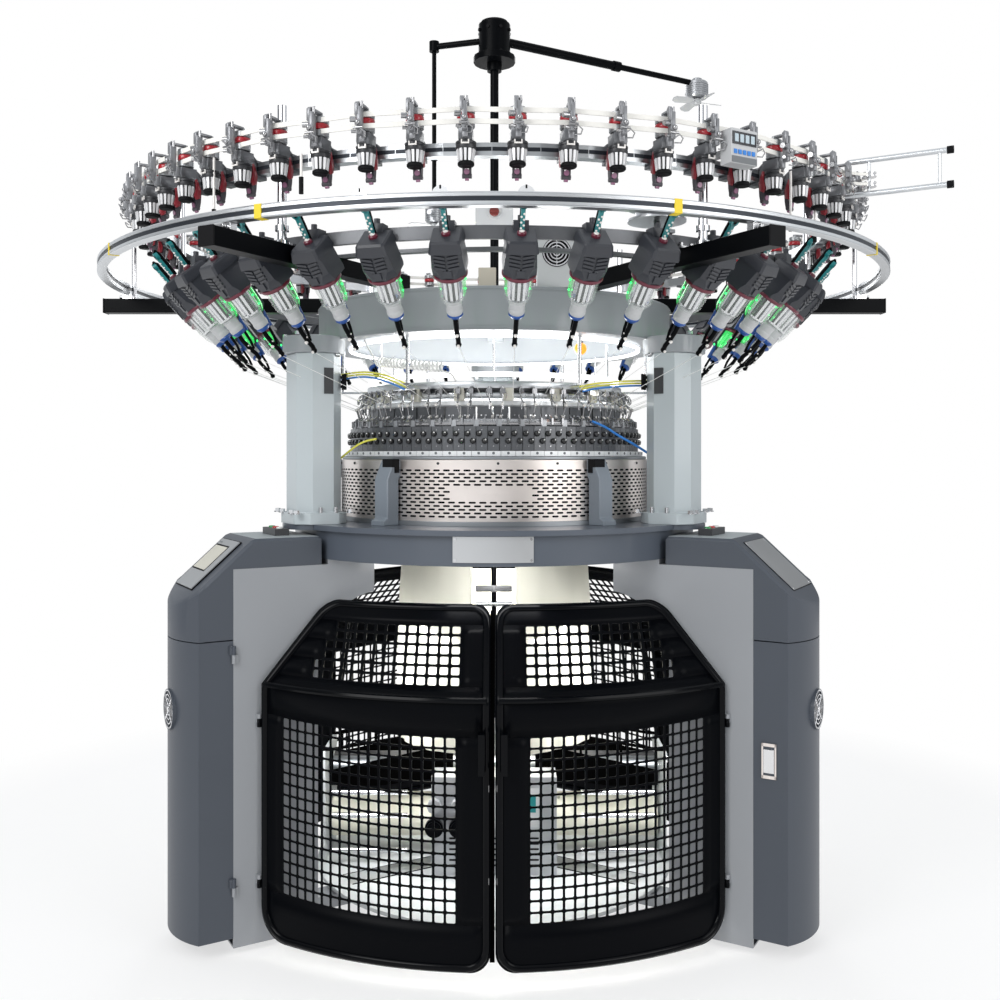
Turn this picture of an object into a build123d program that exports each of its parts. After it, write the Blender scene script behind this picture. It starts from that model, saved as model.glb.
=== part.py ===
from build123d import *
import os
from math import atan2, cos, degrees, hypot, radians, sin, sqrt, tan

os.makedirs("parts", exist_ok=True)

# Circular knitting machine for open-width cloth. Sizes are in millimetres, +Z is up,
# the origin lies on the floor on the axis of the needle cylinder, and the front faces -Y.
# An angle of a station is counted from the front towards the right-hand side.

# Clearances
running_gap = 0.3
seam_gap = 3
floor_gap = 20

# Flats that stand for a round: large rings, the knitting head and small rounds
ring_sides = 60
head_sides = 36
hidden_sides = 24
wheel_sides = 16
small_sides = 8

# Legs
leg_stations = {"left": -60, "right": 60, "rear": 180}
leg_half_width = 150
leg_wall = 6
leg_outer = 984
leg_inner = 718
leg_head_inner = 529
leg_top = 1154
flare_start = 850
flare_end = 1060
seat_thickness = 15
seat_outer = 684
pad_radius = 80
pad_station = 851
anchor_hole_radius = 9

# Leg caps
cap_seam = 943
cap_nose = 1087
cap_nose_top = 1094
cap_slope_inner = 922
cap_top = 1242
cap_inner = 706
cap_bevel = 8

# Leg covers
cover_bottom = 50
cover_bulge = 50
cover_wall = 3
cover_hinge_offset = 7
cover_hinge_heights = (178, 873)
knuckle_radius = 6.5
knuckle_length = 26
vent_height = 724
vent_radius = 62
vent_rim = 8
vent_stand = 5
latch_plate = (44, 105, 3)
latch_centre = (1032, 588)
paddle_size = (32, 70, 4)

# Control panels and push-buttons on the front caps
panel_size = (124, 200, 8)
station_radius = 805
station_size = (46, 130, 22)
button_radius = 11
button_spacing = 38
button_proud = 5
button_travel = 4
button_depth = 12

# Bed
bed_radius = 700
bed_lip_radius = 720
bed_bore_radius = 420
bed_lip_bottom = 1259
bed_top = 1276
lobe_radius = 100

# Columns and crown
column_radius_from_axis = 678
column_width = 179
column_depth = 150
column_corner = 40
flange_height = 36
flange_margin = 14
column_top = 1823
crown_bottom = 1871
crown_top = 2004
crown_radius = 620
crown_bore_radius = 520
crown_lobe_height = 56
boss_radius = 70
spoke_width = 60
spoke_height = 45

# Knitting head
cylinder_radius = 432
cylinder_wall = 28
cylinder_top = 1586
gear_radius = 520
gear_height = 40
guard_radius = 541
guard_thickness = 2
guard_top = 1482
bracket_angles = (-36, 36, 84, 156, -156, -84)
bracket_width = 55
bracket_outer = 615
bracket_gap = 4
bracket_toe = 15
bracket_ankle = 24
bracket_step = 17
bracket_shoulder = 62
bracket_lean = 50
bracket_lap = 25
bracket_lip = 20
cam_plate_radius = 525
cam_plate_bore = 446
cam_plate_height = 27
cam_box_radius = 510
cam_box_height = 78
sinker_radius = 500
sinker_bore = 404
sinker_height = 22
dial_radius = 448
dial_height = 41
guide_ring_radius = 450
guide_ring_width = 14
guide_ring_bottom = 1708
guide_ring_height = 22
guide_hanger_station = 545
guide_hanger_radius = 6
guide_lap = 8

# Front doors
door_radius = 1195
door_front = 822
door_top_radius = 1132
door_top_front = 614
door_thickness = 22
door_sheet = 3
door_half_gap = 7
door_edge = 700
door_top_edge = 519
door_bottom = 40
door_fold = 805
door_top = 1047
door_rail = 25
bow_flats = 4
door_hinge_x = 707
door_outer_corner = 60
door_inner_corner = 42
hinge_leaf_lap = 8
door_hinge_heights = (203, 688)
mesh_low = 185
mesh_high = 708
mesh_near = 102
mesh_far = 627
mesh_rows = 6
mesh_columns = 4
mesh_bar = 9
upper_mesh_span = (0.165, 0.76)
upper_mesh_draw = 0.6
upper_mesh_rows = 2
upper_mesh_columns = 3
handle_height = 664
handle_length = 115
handle_width = 18
handle_stand = 34
handle_bar = 12
handle_root = 8
handle_x = 32

# Side guards between the legs
guard_mesh_rows = 3
guard_mesh_columns = 4
guard_tab_size = 20
guard_tab_station = 895

# Take-down under the bed
spider_width = 80
spider_height = 40
spider_bottom = 26
hub_radius = 110
turntable_radius = 600
turntable_thickness = 12
turntable_bottom = 76
upright_station = 590
upright_thickness = 12
upright_depth = 260
upright_top = 470
roller_radius = 32
roller_pairs = ((-45, 400), (22, 400))
cloth_roll_radius = 75
cloth_roll_height = 215
axle_radius = 12
axle_length = 16
roller_side_gap = 2
wing_inner = 142
wing_outer = 568
wing_depth = 240
wing_top = 550
wing_sheet = 6
case_size = (420, 110, 330)
case_station = 190
knob_places = (-200, -120)
knob_height = 324
knob_radius = 24
knob_length = 22
cloth_radius = 355
cloth_thickness = 3
cloth_slit_top = 1180
cloth_top = 1560
cloth_slit = 150

# Drive in the rear leg
motor_radius = 85
motor_height = 260
motor_foot = 14
shaft_radius = 15
pulley_radius = 60
pulley_height = 30

# Creel arms and rings
arm_angles = (-150, -90, -30, 30, 90, 150)
arm_size = 50
arm_wall = 4
arm_inner = 560
arm_past_rail = 75
ring_radius = 1050
ring_thickness = 12
ring_height = 36
inner_ring_radius = 890
inner_ring_width = 20
inner_ring_height = 12
rail_stand_off = 220
rail_width = 28
rail_height = 33
rail_centre = 2090
rail_block_width = 24

# Posts, beam and belts
post_radius = 13
post_top = 2423
short_post_radius = 8
short_post_gap = 3
short_post_top = 2239
feeder_count = 60
feeder_phase = 3
beam_inner = 1130
beam_width = 30
beam_bottom = 2237
beam_height = 32
spool_radius = 22
spool_bottom = 2200
spool_top = 2350
spool_body_width = 40
spool_body_top = 2290
belt_thickness = 3
belt_height = 12
belt_levels = (2296, 2325)

# Storage feeders
storage_count = 36
storage_phase = 3.9
storage_width = 84
storage_top = (1095, 2045)
storage_tip = (870, 1790)
storage_half_depth = 40
storage_body_length = 124
storage_drum_radius = 37
storage_drum_length = 73
storage_nose_radius = 21
storage_nose_length = 41
storage_arm_width = 13
storage_tip_gap = 10
storage_heel = 2
clamp_height = 2085
clamp_outer = 1085

# Fan mast
mast_radius = 15
mast_below_arm = 84
hub_flange_radius = 75
hub_flange_height = 22
fan_hub_radius = 57
fan_hub_rise = 53
fan_arm_height = 2984
outer_fan_reach = 923
outer_fan_angle = 118.8
outer_tube_radius = 16
inner_tube_radius = 11
telescope_split = 520
inner_fan_reach = 229
inner_fan_angle = -106.4
drop_rod_radius = 8
drop_rod_length = 584
fan_motor_radius = 42
fan_motor_height = 60
inner_motor_radius = 30
blade_length = 100
blade_width = 45
blade_thickness = 3
blade_count = 4
blade_pitch = 20

# Belt tension arms
tension_angle = 61
tension_tube_radius = 8
lower_arm_start = 1126
upper_arm_start = 1223
tension_arm_end = 1518
upper_arm_height = 2377
tension_pin_station = 1284
tension_pin_radius = 5
tension_post_station = 1480
tension_pulley_radius = 21
tension_pulley_height = 14

# Quality wheel
wheel_angle = 26.5
wheel_station = 1003
wheel_radius = 80
wheel_bottom = 2130
wheel_disc = 6
wheel_groove = 30
wheel_hub_radius = 58
wheel_pin_radius = 8
wheel_bracket_thickness = 10

# Boxes
counter_size = (88, 40, 88)
counter_bottom = 2230
counter_station = 1236
counter_strap = (20, 15)
junction_size = (132, 60, 100)
junction_bottom = 2300
power_size = (119, 80, 169)
power_x = 192
power_front = 580


def outward(angle):
    """Unit vector from the machine's axis towards a station."""
    return Vector(sin(radians(angle)), -cos(radians(angle)), 0)


def across(angle):
    """Unit vector to the right of someone who stands at the axis and faces away from the station."""
    return Vector(cos(radians(angle)), sin(radians(angle)), 0)


def radial_plane(angle, side=0):
    """Upright plane through the axis: x runs outward and y runs up."""
    return Plane(origin=across(angle) * side, x_dir=outward(angle), z_dir=-across(angle))


def facing_plane(angle, station, height=0):
    """Upright plane that faces outward: x runs across and y runs up."""
    return Plane(
        origin=outward(angle) * station + Vector(0, 0, height),
        x_dir=across(angle),
        z_dir=outward(angle),
    )


def level_plane(angle, height):
    """Level plane: x runs outward from the axis and y runs across."""
    return Plane(origin=(0, 0, height), x_dir=outward(angle), z_dir=(0, 0, 1))


def finish(piece, name):
    """Name a finished piece and write its file."""
    piece.part.label = name
    export_step(piece.part, f"parts/{name}.step")


def axle_hole(radius):
    """Hole a running gap wider than an axle, its flats facing the axle's edges."""
    with BuildSketch() as hole:
        RegularPolygon(radius + running_gap, small_sides, major_radius=False, rotation=180 / small_sides)
    return hole.sketch


def ring(outer, inner, bottom, height, sides=ring_sides, turn=0):
    """Ring on the machine's axis."""
    with BuildPart() as blank:
        with BuildSketch(Plane.XY.offset(bottom)):
            RegularPolygon(outer, sides, rotation=turn)
            RegularPolygon(inner, sides, rotation=turn, mode=Mode.SUBTRACT)
        extrude(amount=height)
    return blank.part


# Legs

first_leg_turn = leg_stations["right"] - 90
flare_rise = flare_end - flare_start
flare_run = leg_inner - leg_head_inner
flare_radius = (flare_rise**2 + flare_run**2) / (2 * flare_run)
flare_centre = (leg_inner - flare_radius, flare_start)
flare_sweep = atan2(flare_rise, leg_head_inner - flare_centre[0])
flare_middle = (
    flare_centre[0] + flare_radius * cos(flare_sweep / 2),
    flare_centre[1] + flare_radius * sin(flare_sweep / 2),
)
cover_hinge_side = leg_half_width + cover_hinge_offset
cover_top = cap_seam - seam_gap
door_centre_y = door_radius - door_front
door_top_centre_y = door_top_radius - door_top_front
door_hinge_y = door_centre_y - sqrt(door_radius**2 - door_hinge_x**2)
rail_radius = storage_top[0] + rail_stand_off
arm_outer = rail_radius + arm_past_rail
short_post_station = rail_radius - rail_width / 2 - short_post_radius - short_post_gap
mast_top = fan_arm_height - mast_below_arm
fan_hub_top = fan_arm_height + fan_hub_rise
drop_rod_bottom = fan_arm_height - drop_rod_length


def leg_outline():
    """Side view of a leg, with the head that flares in under the bed."""
    with BuildSketch() as outline:
        with BuildLine():
            Polyline(
                (leg_inner, flare_start),
                (leg_inner, floor_gap),
                (leg_outer, floor_gap),
                (leg_outer, leg_top),
                (leg_head_inner, leg_top),
                (leg_head_inner, flare_end),
            )
            ThreePointArc((leg_head_inner, flare_end), flare_middle, (leg_inner, flare_start))
        make_face()
    return outline.sketch


def cover_knuckles(angle, lift):
    """Hinge knuckles of a leg cover, on the leg (lift 0) or on the cover."""
    side = 1 if lift else -1
    with BuildPart() as knuckles:
        for height in cover_hinge_heights:
            with BuildSketch(level_plane(angle, height + lift)):
                with Locations((leg_outer, cover_hinge_side)):
                    RegularPolygon(knuckle_radius, small_sides)
                with Locations((leg_outer + side * knuckle_radius, leg_half_width + cover_hinge_offset / 2)):
                    Rectangle(2 * knuckle_radius, cover_hinge_offset)
            extrude(amount=knuckle_length)
    return knuckles.part


def make_leg_frame(name, angle):
    """Welded leg: two side panels, back, sole and head, open on the outside."""
    with BuildPart() as frame:
        with BuildSketch(radial_plane(angle)):
            add(leg_outline())
        extrude(amount=leg_half_width, both=True)
        with BuildSketch(radial_plane(angle)):
            add(leg_outline())
            offset(amount=-leg_wall, kind=Kind.INTERSECTION)
            with Locations((leg_outer, (floor_gap + leg_top) / 2)):
                Rectangle(4 * leg_wall, leg_top - floor_gap - 2 * leg_wall)
        extrude(amount=leg_half_width - leg_wall, both=True, mode=Mode.SUBTRACT)
        with BuildSketch(level_plane(angle, leg_top)):
            with Locations(((leg_head_inner + seat_outer) / 2, 0)):
                Rectangle(seat_outer - leg_head_inner, 2 * leg_half_width)
        extrude(amount=seat_thickness)
        with BuildSketch(level_plane(angle, floor_gap)):
            with Locations((pad_station, 0)):
                RegularPolygon(2 * anchor_hole_radius, small_sides)
        extrude(amount=leg_wall, mode=Mode.SUBTRACT)
        add(cover_knuckles(angle, 0))
        if name != "rear":
            hinge_side = -1 if name == "left" else 1
            hinge = Vector(hinge_side * door_hinge_x, door_hinge_y, 0)
            along = hinge.dot(outward(angle))
            aside = hinge.dot(across(angle))
            face = leg_half_width * aside / abs(aside)
            for height in door_hinge_heights:
                with BuildSketch(level_plane(angle, height)):
                    with Locations((along, aside)):
                        RegularPolygon(knuckle_radius, small_sides)
                    with Locations((along, (aside + face) / 2)):
                        Rectangle(2 * knuckle_radius, abs(aside - face))
                extrude(amount=knuckle_length)
    finish(frame, f"leg_frame_{name}")


def leg_cap(angle):
    """Cap with the sloped control face and the beam that runs in to the bed."""
    with BuildPart() as cap:
        with BuildSketch(radial_plane(angle)):
            with BuildLine():
                Polyline(
                    (leg_outer, cap_seam),
                    (cap_nose, cap_seam),
                    (cap_nose, cap_nose_top),
                    (cap_slope_inner, cap_top),
                    (cap_inner, cap_top),
                    (cap_inner, leg_top),
                    (leg_outer, leg_top),
                    close=True,
                )
            make_face()
        extrude(amount=leg_half_width, both=True)
        upper_faces = cap.faces().filter_by(lambda face: face.normal_at().Z > 0.1)
        chamfer(upper_faces.edges(), length=cap_bevel)
    return cap.part


def cover_outline(wall, reach):
    """Plan of a leg cover, drawn in by a wall and reaching back by some length."""
    half = leg_half_width - wall
    back = leg_outer - reach
    with BuildSketch() as outline:
        with BuildLine():
            Polyline((cap_nose, half), (back, half), (back, -half), (cap_nose, -half))
            ThreePointArc((cap_nose, -half), (cap_nose + cover_bulge - wall, 0), (cap_nose, half))
        make_face()
    return outline.sketch


def make_leg_cover(name, angle):
    """Hinged cover with a bulged end and, on the front legs, a round fan vent."""
    with BuildPart() as cover:
        with BuildSketch(level_plane(angle, cover_bottom)):
            add(cover_outline(0, -running_gap))
        extrude(amount=cover_top - cover_bottom)
        with BuildSketch(level_plane(angle, cover_bottom + cover_wall)):
            add(cover_outline(cover_wall, 1))
        extrude(amount=cover_top - cover_bottom - 2 * cover_wall, mode=Mode.SUBTRACT)
        if name != "rear":
            vent_face = facing_plane(angle, cap_nose + cover_bulge + vent_stand, vent_height)
            with BuildSketch(vent_face):
                RegularPolygon(vent_radius, wheel_sides)
            extrude(amount=-4 * vent_stand)
            with BuildSketch(vent_face):
                RegularPolygon(vent_radius - vent_rim, wheel_sides)
                Rectangle(2 * vent_radius, vent_rim, mode=Mode.SUBTRACT)
                Rectangle(vent_rim, 2 * vent_radius, mode=Mode.SUBTRACT)
            extrude(amount=-5 * vent_stand, mode=Mode.SUBTRACT)
        with BuildSketch(radial_plane(angle, -leg_half_width)):
            with Locations(latch_centre):
                Rectangle(latch_plate[0], latch_plate[1])
        extrude(amount=latch_plate[2])
        add(cover_knuckles(angle, knuckle_length + running_gap))
    finish(cover, f"leg_cover_{name}")


def make_cover_latch(name, angle):
    """Paddle of the flush latch on a leg cover, hung from its top edge."""
    with BuildPart() as paddle:
        face = radial_plane(angle, -leg_half_width - latch_plate[2] - running_gap)
        with BuildSketch(face):
            with Locations((latch_centre[0], latch_centre[1])):
                Rectangle(paddle_size[0], paddle_size[1])
        extrude(amount=paddle_size[2])
    finish(paddle, f"cover_latch_{name}")


for leg_name, leg_angle in leg_stations.items():
    make_leg_frame(leg_name, leg_angle)
    make_leg_cover(leg_name, leg_angle)
    make_cover_latch(leg_name, leg_angle)

with BuildPart() as leg_caps:
    for leg_angle in leg_stations.values():
        add(leg_cap(leg_angle))
finish(leg_caps, "leg_caps")

# Floor pads, each with the hole for its anchor bolt
with BuildPart() as floor_pads:
    with BuildSketch(Plane.XY):
        with PolarLocations(pad_station, 3, start_angle=first_leg_turn):
            RegularPolygon(pad_radius, wheel_sides)
            Circle(anchor_hole_radius, mode=Mode.SUBTRACT)
    extrude(amount=floor_gap)
finish(floor_pads, "floor_pads")


# Control panels and push-buttons

slope_length = hypot(cap_nose - cap_slope_inner, cap_top - cap_nose_top)
slope_normal = ((cap_top - cap_nose_top) / slope_length, (cap_nose - cap_slope_inner) / slope_length)


def slope_plane(angle):
    """Plane on the middle of a cap's slope: x runs across and y runs up the slope."""
    middle = outward(angle) * ((cap_nose + cap_slope_inner) / 2)
    return Plane(
        origin=middle + Vector(0, 0, (cap_nose_top + cap_top) / 2),
        x_dir=across(angle),
        z_dir=outward(angle) * slope_normal[0] + Vector(0, 0, slope_normal[1]),
    )


with BuildPart() as cap_panels:
    for panel_angle in (leg_stations["left"], leg_stations["right"]):
        with BuildSketch(slope_plane(panel_angle)):
            Rectangle(panel_size[0], panel_size[1])
        extrude(amount=panel_size[2])
    front_faces = cap_panels.faces().filter_by(lambda face: 0.7 < face.normal_at().Z < 0.9)
    chamfer(front_faces.edges(), length=panel_size[2] / 2)
finish(cap_panels, "cap_panels")

station_top = cap_top + station_size[2]
button_sides = (-button_spacing, 0, button_spacing)
front_legs = {"left": leg_stations["left"], "right": leg_stations["right"]}
with BuildPart() as button_stations:
    for station_angle in front_legs.values():
        with BuildSketch(level_plane(station_angle, cap_top)):
            with Locations((station_radius, 0)):
                Rectangle(station_size[0], station_size[1])
        extrude(amount=station_size[2])
        with BuildSketch(level_plane(station_angle, station_top)):
            with Locations([(station_radius, side) for side in button_sides]):
                RegularPolygon(button_radius + running_gap, small_sides)
        extrude(amount=-button_depth - running_gap, mode=Mode.SUBTRACT)
finish(button_stations, "button_stations")

for station_name, station_angle in front_legs.items():
    for button_name, side in zip(("run", "stop", "inch"), button_sides):
        with BuildPart() as button:
            with BuildSketch(level_plane(station_angle, station_top + button_proud)):
                with Locations((station_radius, side)):
                    RegularPolygon(button_radius, small_sides)
            extrude(amount=-button_proud - button_depth + button_travel)
        finish(button, f"{button_name}_button_{station_name}")


# Bed, columns and crown

with BuildPart() as bed:
    add(ring(bed_radius, bed_bore_radius, leg_top + seat_thickness, bed_top - leg_top - seat_thickness))
    add(ring(bed_lip_radius, bed_bore_radius, bed_lip_bottom, bed_top - bed_lip_bottom))
    with BuildSketch(Plane.XY.offset(bed_lip_bottom)):
        with PolarLocations(column_radius_from_axis, 3, start_angle=first_leg_turn):
            RegularPolygon(lobe_radius, wheel_sides)
    extrude(amount=bed_top - bed_lip_bottom)
finish(bed, "bed")


with BuildPart() as columns:
    for column_angle in leg_stations.values():
        with BuildSketch(level_plane(column_angle, bed_top)) as flange_sketch:
            with Locations((column_radius_from_axis, 0)):
                Rectangle(column_depth + 2 * flange_margin, column_width + 2 * flange_margin)
            chamfer(flange_sketch.vertices(), length=column_corner)
        extrude(amount=flange_height)
        with BuildSketch(level_plane(column_angle, bed_top + flange_height)) as shaft_sketch:
            with Locations((column_radius_from_axis, 0)):
                Rectangle(column_depth, column_width)
            chamfer(shaft_sketch.vertices(), length=column_corner)
        extrude(amount=column_top - bed_top - flange_height)
finish(columns, "columns")

with BuildPart() as crown:
    add(ring(crown_radius, crown_bore_radius, crown_bottom, crown_top - crown_bottom))
    with BuildSketch(Plane.XY.offset(column_top)):
        with PolarLocations(column_radius_from_axis, 3, start_angle=first_leg_turn):
            RegularPolygon(lobe_radius, wheel_sides)
    extrude(amount=crown_lobe_height)
    with BuildSketch(Plane.XY.offset(crown_top - spoke_height)):
        RegularPolygon(boss_radius, small_sides)
        for spoke_angle in leg_stations.values():
            with Locations(Location((0, 0, 0), (0, 0, 1), spoke_angle - 90)):
                with Locations(((crown_bore_radius + 20) / 2, 0)):
                    Rectangle(crown_bore_radius + 20, spoke_width)
    extrude(amount=spoke_height)
finish(crown, "crown")


# Knitting head

gear_bottom = bed_top + running_gap
gear_top = gear_bottom + gear_height
cam_plate_bottom = guard_top
cam_plate_top = cam_plate_bottom + cam_plate_height
cam_box_top = cam_plate_top + cam_box_height
sinker_top = cam_box_top + sinker_height

with BuildPart() as ring_gear:
    add(ring(gear_radius, sinker_bore, gear_bottom, gear_height, hidden_sides))
finish(ring_gear, "ring_gear")

with BuildPart() as cylinder:
    add(ring(cylinder_radius, cylinder_radius - cylinder_wall, gear_top, cylinder_top - gear_top, hidden_sides))
finish(cylinder, "cylinder")

with BuildPart() as cam_plate:
    add(ring(cam_plate_radius, cam_plate_bore, cam_plate_bottom, cam_plate_height, head_sides))
finish(cam_plate, "cam_plate")

with BuildPart() as cam_boxes:
    add(ring(cam_box_radius, cam_plate_bore, cam_plate_top, cam_box_height, head_sides))
finish(cam_boxes, "cam_boxes")

with BuildPart() as sinker_caps:
    add(ring(sinker_radius, sinker_bore, cam_box_top, sinker_height, head_sides))
    add(ring(dial_radius, sinker_bore, sinker_top, dial_height, head_sides))
finish(sinker_caps, "sinker_caps")

with BuildPart() as head_guard:
    add(ring(guard_radius, guard_radius - guard_thickness, bed_top, guard_top - bed_top, head_sides))
    gap_width = bracket_width + 2 * running_gap
    for bracket_angle in bracket_angles:
        with BuildSketch(facing_plane(bracket_angle, guard_radius, bed_top)):
            with Locations((0, guard_top / 2)):
                Rectangle(gap_width, guard_top)
        extrude(amount=guard_thickness * 4, both=True, mode=Mode.SUBTRACT)
finish(head_guard, "head_guard")

with BuildPart() as ring_brackets:
    for bracket_angle in bracket_angles:
        with BuildSketch(radial_plane(bracket_angle)):
            with BuildLine():
                Polyline(
                    (guard_radius + bracket_gap, bed_top),
                    (bracket_outer, bed_top),
                    (bracket_outer, bed_top + bracket_toe),
                    (bracket_outer - bracket_step, bed_top + bracket_ankle),
                    (bracket_outer - bracket_step, guard_top - bracket_shoulder),
                    (bracket_outer - bracket_lean, guard_top),
                    (cam_plate_radius - bracket_lap, guard_top),
                    (cam_plate_radius - bracket_lap, guard_top - bracket_lip),
                    (guard_radius + bracket_gap, guard_top - bracket_shoulder),
                    close=True,
                )
            make_face()
        extrude(amount=bracket_width / 2, both=True)
finish(ring_brackets, "ring_brackets")

guide_plan_bore = guide_ring_radius - guide_ring_width
with BuildPart() as guide_ring:
    add(ring(guide_ring_radius, guide_plan_bore, guide_ring_bottom, guide_ring_height, head_sides))
    for hanger_angle in leg_stations.values():
        with BuildSketch(level_plane(hanger_angle, guide_ring_bottom)):
            with Locations(((guide_plan_bore + guide_lap + guide_hanger_station) / 2, 0)):
                Rectangle(guide_hanger_station - guide_plan_bore - guide_lap, 3 * guide_hanger_radius)
        extrude(amount=guide_ring_height / 2)
        with BuildSketch(level_plane(hanger_angle, guide_ring_bottom + guide_ring_height / 2)):
            with Locations((guide_hanger_station - 2 * guide_hanger_radius, 0)):
                Rectangle(2 * guide_hanger_radius, 2 * guide_hanger_radius)
        extrude(amount=crown_bottom - guide_ring_bottom - guide_ring_height / 2)
finish(guide_ring, "guide_ring")


# Front doors and side guards


def bow(x, radius, centre_y):
    """Front-to-back place of a bowed panel at a sideways place."""
    return centre_y - sqrt(radius**2 - x**2)


def band(x_near, x_far, radius, thickness, centre_y):
    """Plan of a bowed panel between two sideways places, in straight flats."""
    steps = [x_near + (x_far - x_near) * step / bow_flats for step in range(bow_flats + 1)]
    inner = radius - thickness
    outside = [(x, bow(x, radius, centre_y)) for x in steps]
    inside = [(x * inner / radius, bow(x * inner / radius, inner, centre_y)) for x in reversed(steps)]
    with BuildSketch() as plan:
        with BuildLine():
            Polyline(*outside, *inside, close=True)
        make_face()
    return plan.sketch


fold_share = door_rail / (door_top - door_fold)


def slant(share, low, high):
    """Value on the sloping upper section at a share of its height."""
    return low + (high - low) * share


def upper_slab(x_near, x_far_low, x_far_high, shares, skin, depth):
    """Sloping upper section of a panel between two shares of its height."""
    with BuildPart() as slab:
        for share in shares:
            radius = slant(share, door_radius, door_top_radius) - skin
            centre_y = slant(share, door_centre_y, door_top_centre_y)
            x_far = slant(share, x_far_low, x_far_high)
            with BuildSketch(Plane.XY.offset(slant(share, door_fold, door_top))):
                add(band(x_near, x_far, radius, depth, centre_y))
        loft(ruled=True)
    return slab.part


def panel_mesh(x_low, x_high, columns, rows, z_low, z_high):
    """Bars that punch the square openings of a mesh field."""
    pitch_x = (x_high - x_low) / columns
    pitch_z = (z_high - z_low) / rows
    with BuildPart() as punches:
        with BuildSketch(Plane.XZ):
            with Locations(((x_low + x_high) / 2, (z_low + z_high) / 2)):
                with GridLocations(pitch_x, pitch_z, columns, rows):
                    Rectangle(pitch_x - mesh_bar, pitch_z - mesh_bar)
        extrude(amount=2 * door_radius)
    return punches.part


def door_front_view(x_near, x_far, x_top_far):
    """Outline of a panel seen from the front, with its free corners rounded."""
    with BuildSketch() as view:
        with BuildLine():
            Polyline(
                (x_near, door_bottom),
                (x_far, door_bottom),
                (x_far, door_fold),
                (x_top_far, door_top),
                (x_near, door_top),
                close=True,
            )
        make_face()
        far_corners = view.vertices().filter_by(lambda corner: corner.X > x_near + door_rail)
        fillet(far_corners.sort_by(Axis.Y)[0], radius=door_outer_corner)
        fillet(far_corners.sort_by(Axis.Y)[-1], radius=door_inner_corner)
        if x_near > 0:
            fillet(view.vertices().sort_by(Axis.X)[:2], radius=door_inner_corner)
    return view.sketch


def door_leaf(x_near, x_far, x_top_far, columns, rows, upper_columns):
    """Bowed panel: a rail all round, a thin sheet in it and the mesh fields."""
    rail_near = x_near + door_rail
    rail_far = x_far - door_rail
    with BuildPart() as leaf:
        with BuildSketch(Plane.XY.offset(door_bottom)):
            add(band(x_near, x_far, door_radius, door_thickness, door_centre_y))
        extrude(amount=door_fold - door_bottom)
        with BuildSketch(Plane.XY.offset(door_bottom + door_rail)):
            add(band(rail_near, rail_far, door_radius - door_sheet, door_thickness, door_centre_y))
        extrude(amount=door_fold - door_bottom - 2 * door_rail, mode=Mode.SUBTRACT)
        add(upper_slab(x_near, x_far, x_top_far, (0, 1), 0, door_thickness))
        add(
            upper_slab(rail_near, rail_far, x_top_far - door_rail, (fold_share, 1 - fold_share), door_sheet,
                       door_thickness),
            mode=Mode.SUBTRACT,
        )
        field_near = x_near + mesh_near - door_half_gap
        field_far = x_far - door_edge + mesh_far
        add(panel_mesh(field_near, field_far, columns, rows, mesh_low, mesh_high), mode=Mode.SUBTRACT)
        upper_far = field_far - (door_edge - door_top_edge) * upper_mesh_draw
        upper_low = slant(upper_mesh_span[0], door_fold, door_top)
        upper_high = slant(upper_mesh_span[1], door_fold, door_top)
        add(
            panel_mesh(field_near, upper_far, upper_columns, upper_mesh_rows, upper_low, upper_high),
            mode=Mode.SUBTRACT,
        )
        with BuildSketch(Plane.XZ):
            add(door_front_view(x_near, x_far, x_top_far))
        extrude(amount=2 * door_radius, mode=Mode.INTERSECT)
    return leaf.part


def door_hinge_leaf(side):
    """Knuckles on the door's side of its two hinges."""
    edge_y = bow(door_edge, door_radius - door_thickness / 2, door_centre_y)
    centre = Vector(side * door_hinge_x, door_hinge_y)
    reach = Vector(side * (door_edge - hinge_leaf_lap), edge_y) - centre
    with BuildPart() as hinge:
        for height in door_hinge_heights:
            with BuildSketch(Plane.XY.offset(height + knuckle_length + running_gap)):
                with Locations(centre):
                    RegularPolygon(knuckle_radius, small_sides)
                turn = degrees(atan2(reach.Y, reach.X))
                with Locations(Location(centre + reach / 2, (0, 0, 1), turn)):
                    Rectangle(reach.length, knuckle_radius * 1.5)
            extrude(amount=knuckle_length)
    return hinge.part


right_leaf = door_leaf(door_half_gap, door_edge, door_top_edge, mesh_columns, mesh_rows,
                       upper_mesh_columns)
left_leaf = mirror(right_leaf, about=Plane.YZ)
right_band = band(door_half_gap, door_edge, door_radius, 2 * door_thickness, door_centre_y)
left_band = mirror(right_band, about=Plane.YZ)
handle_y = bow(handle_x, door_radius, door_centre_y) - handle_stand / 2
for door_name, door_side, leaf, solid_band in (
    ("left", -1, left_leaf, left_band),
    ("right", 1, right_leaf, right_band),
):
    with BuildPart() as door:
        add(leaf)
        add(door_hinge_leaf(door_side))
    finish(door, f"door_{door_name}")
    with BuildPart() as handle:
        with BuildSketch(Plane.YZ.offset(door_side * handle_x)):
            with Locations((handle_y, handle_height)):
                Rectangle(handle_stand + handle_root, handle_length)
            with Locations((handle_y + handle_bar, handle_height)):
                Rectangle(handle_stand + handle_root, handle_length - 2 * handle_bar, mode=Mode.SUBTRACT)
        extrude(amount=handle_width / 2, both=True)
        with BuildSketch(Plane.XY.offset(door_bottom)):
            add(solid_band)
        extrude(amount=door_fold - door_bottom, mode=Mode.SUBTRACT)
    finish(handle, f"door_handle_{door_name}")

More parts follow.
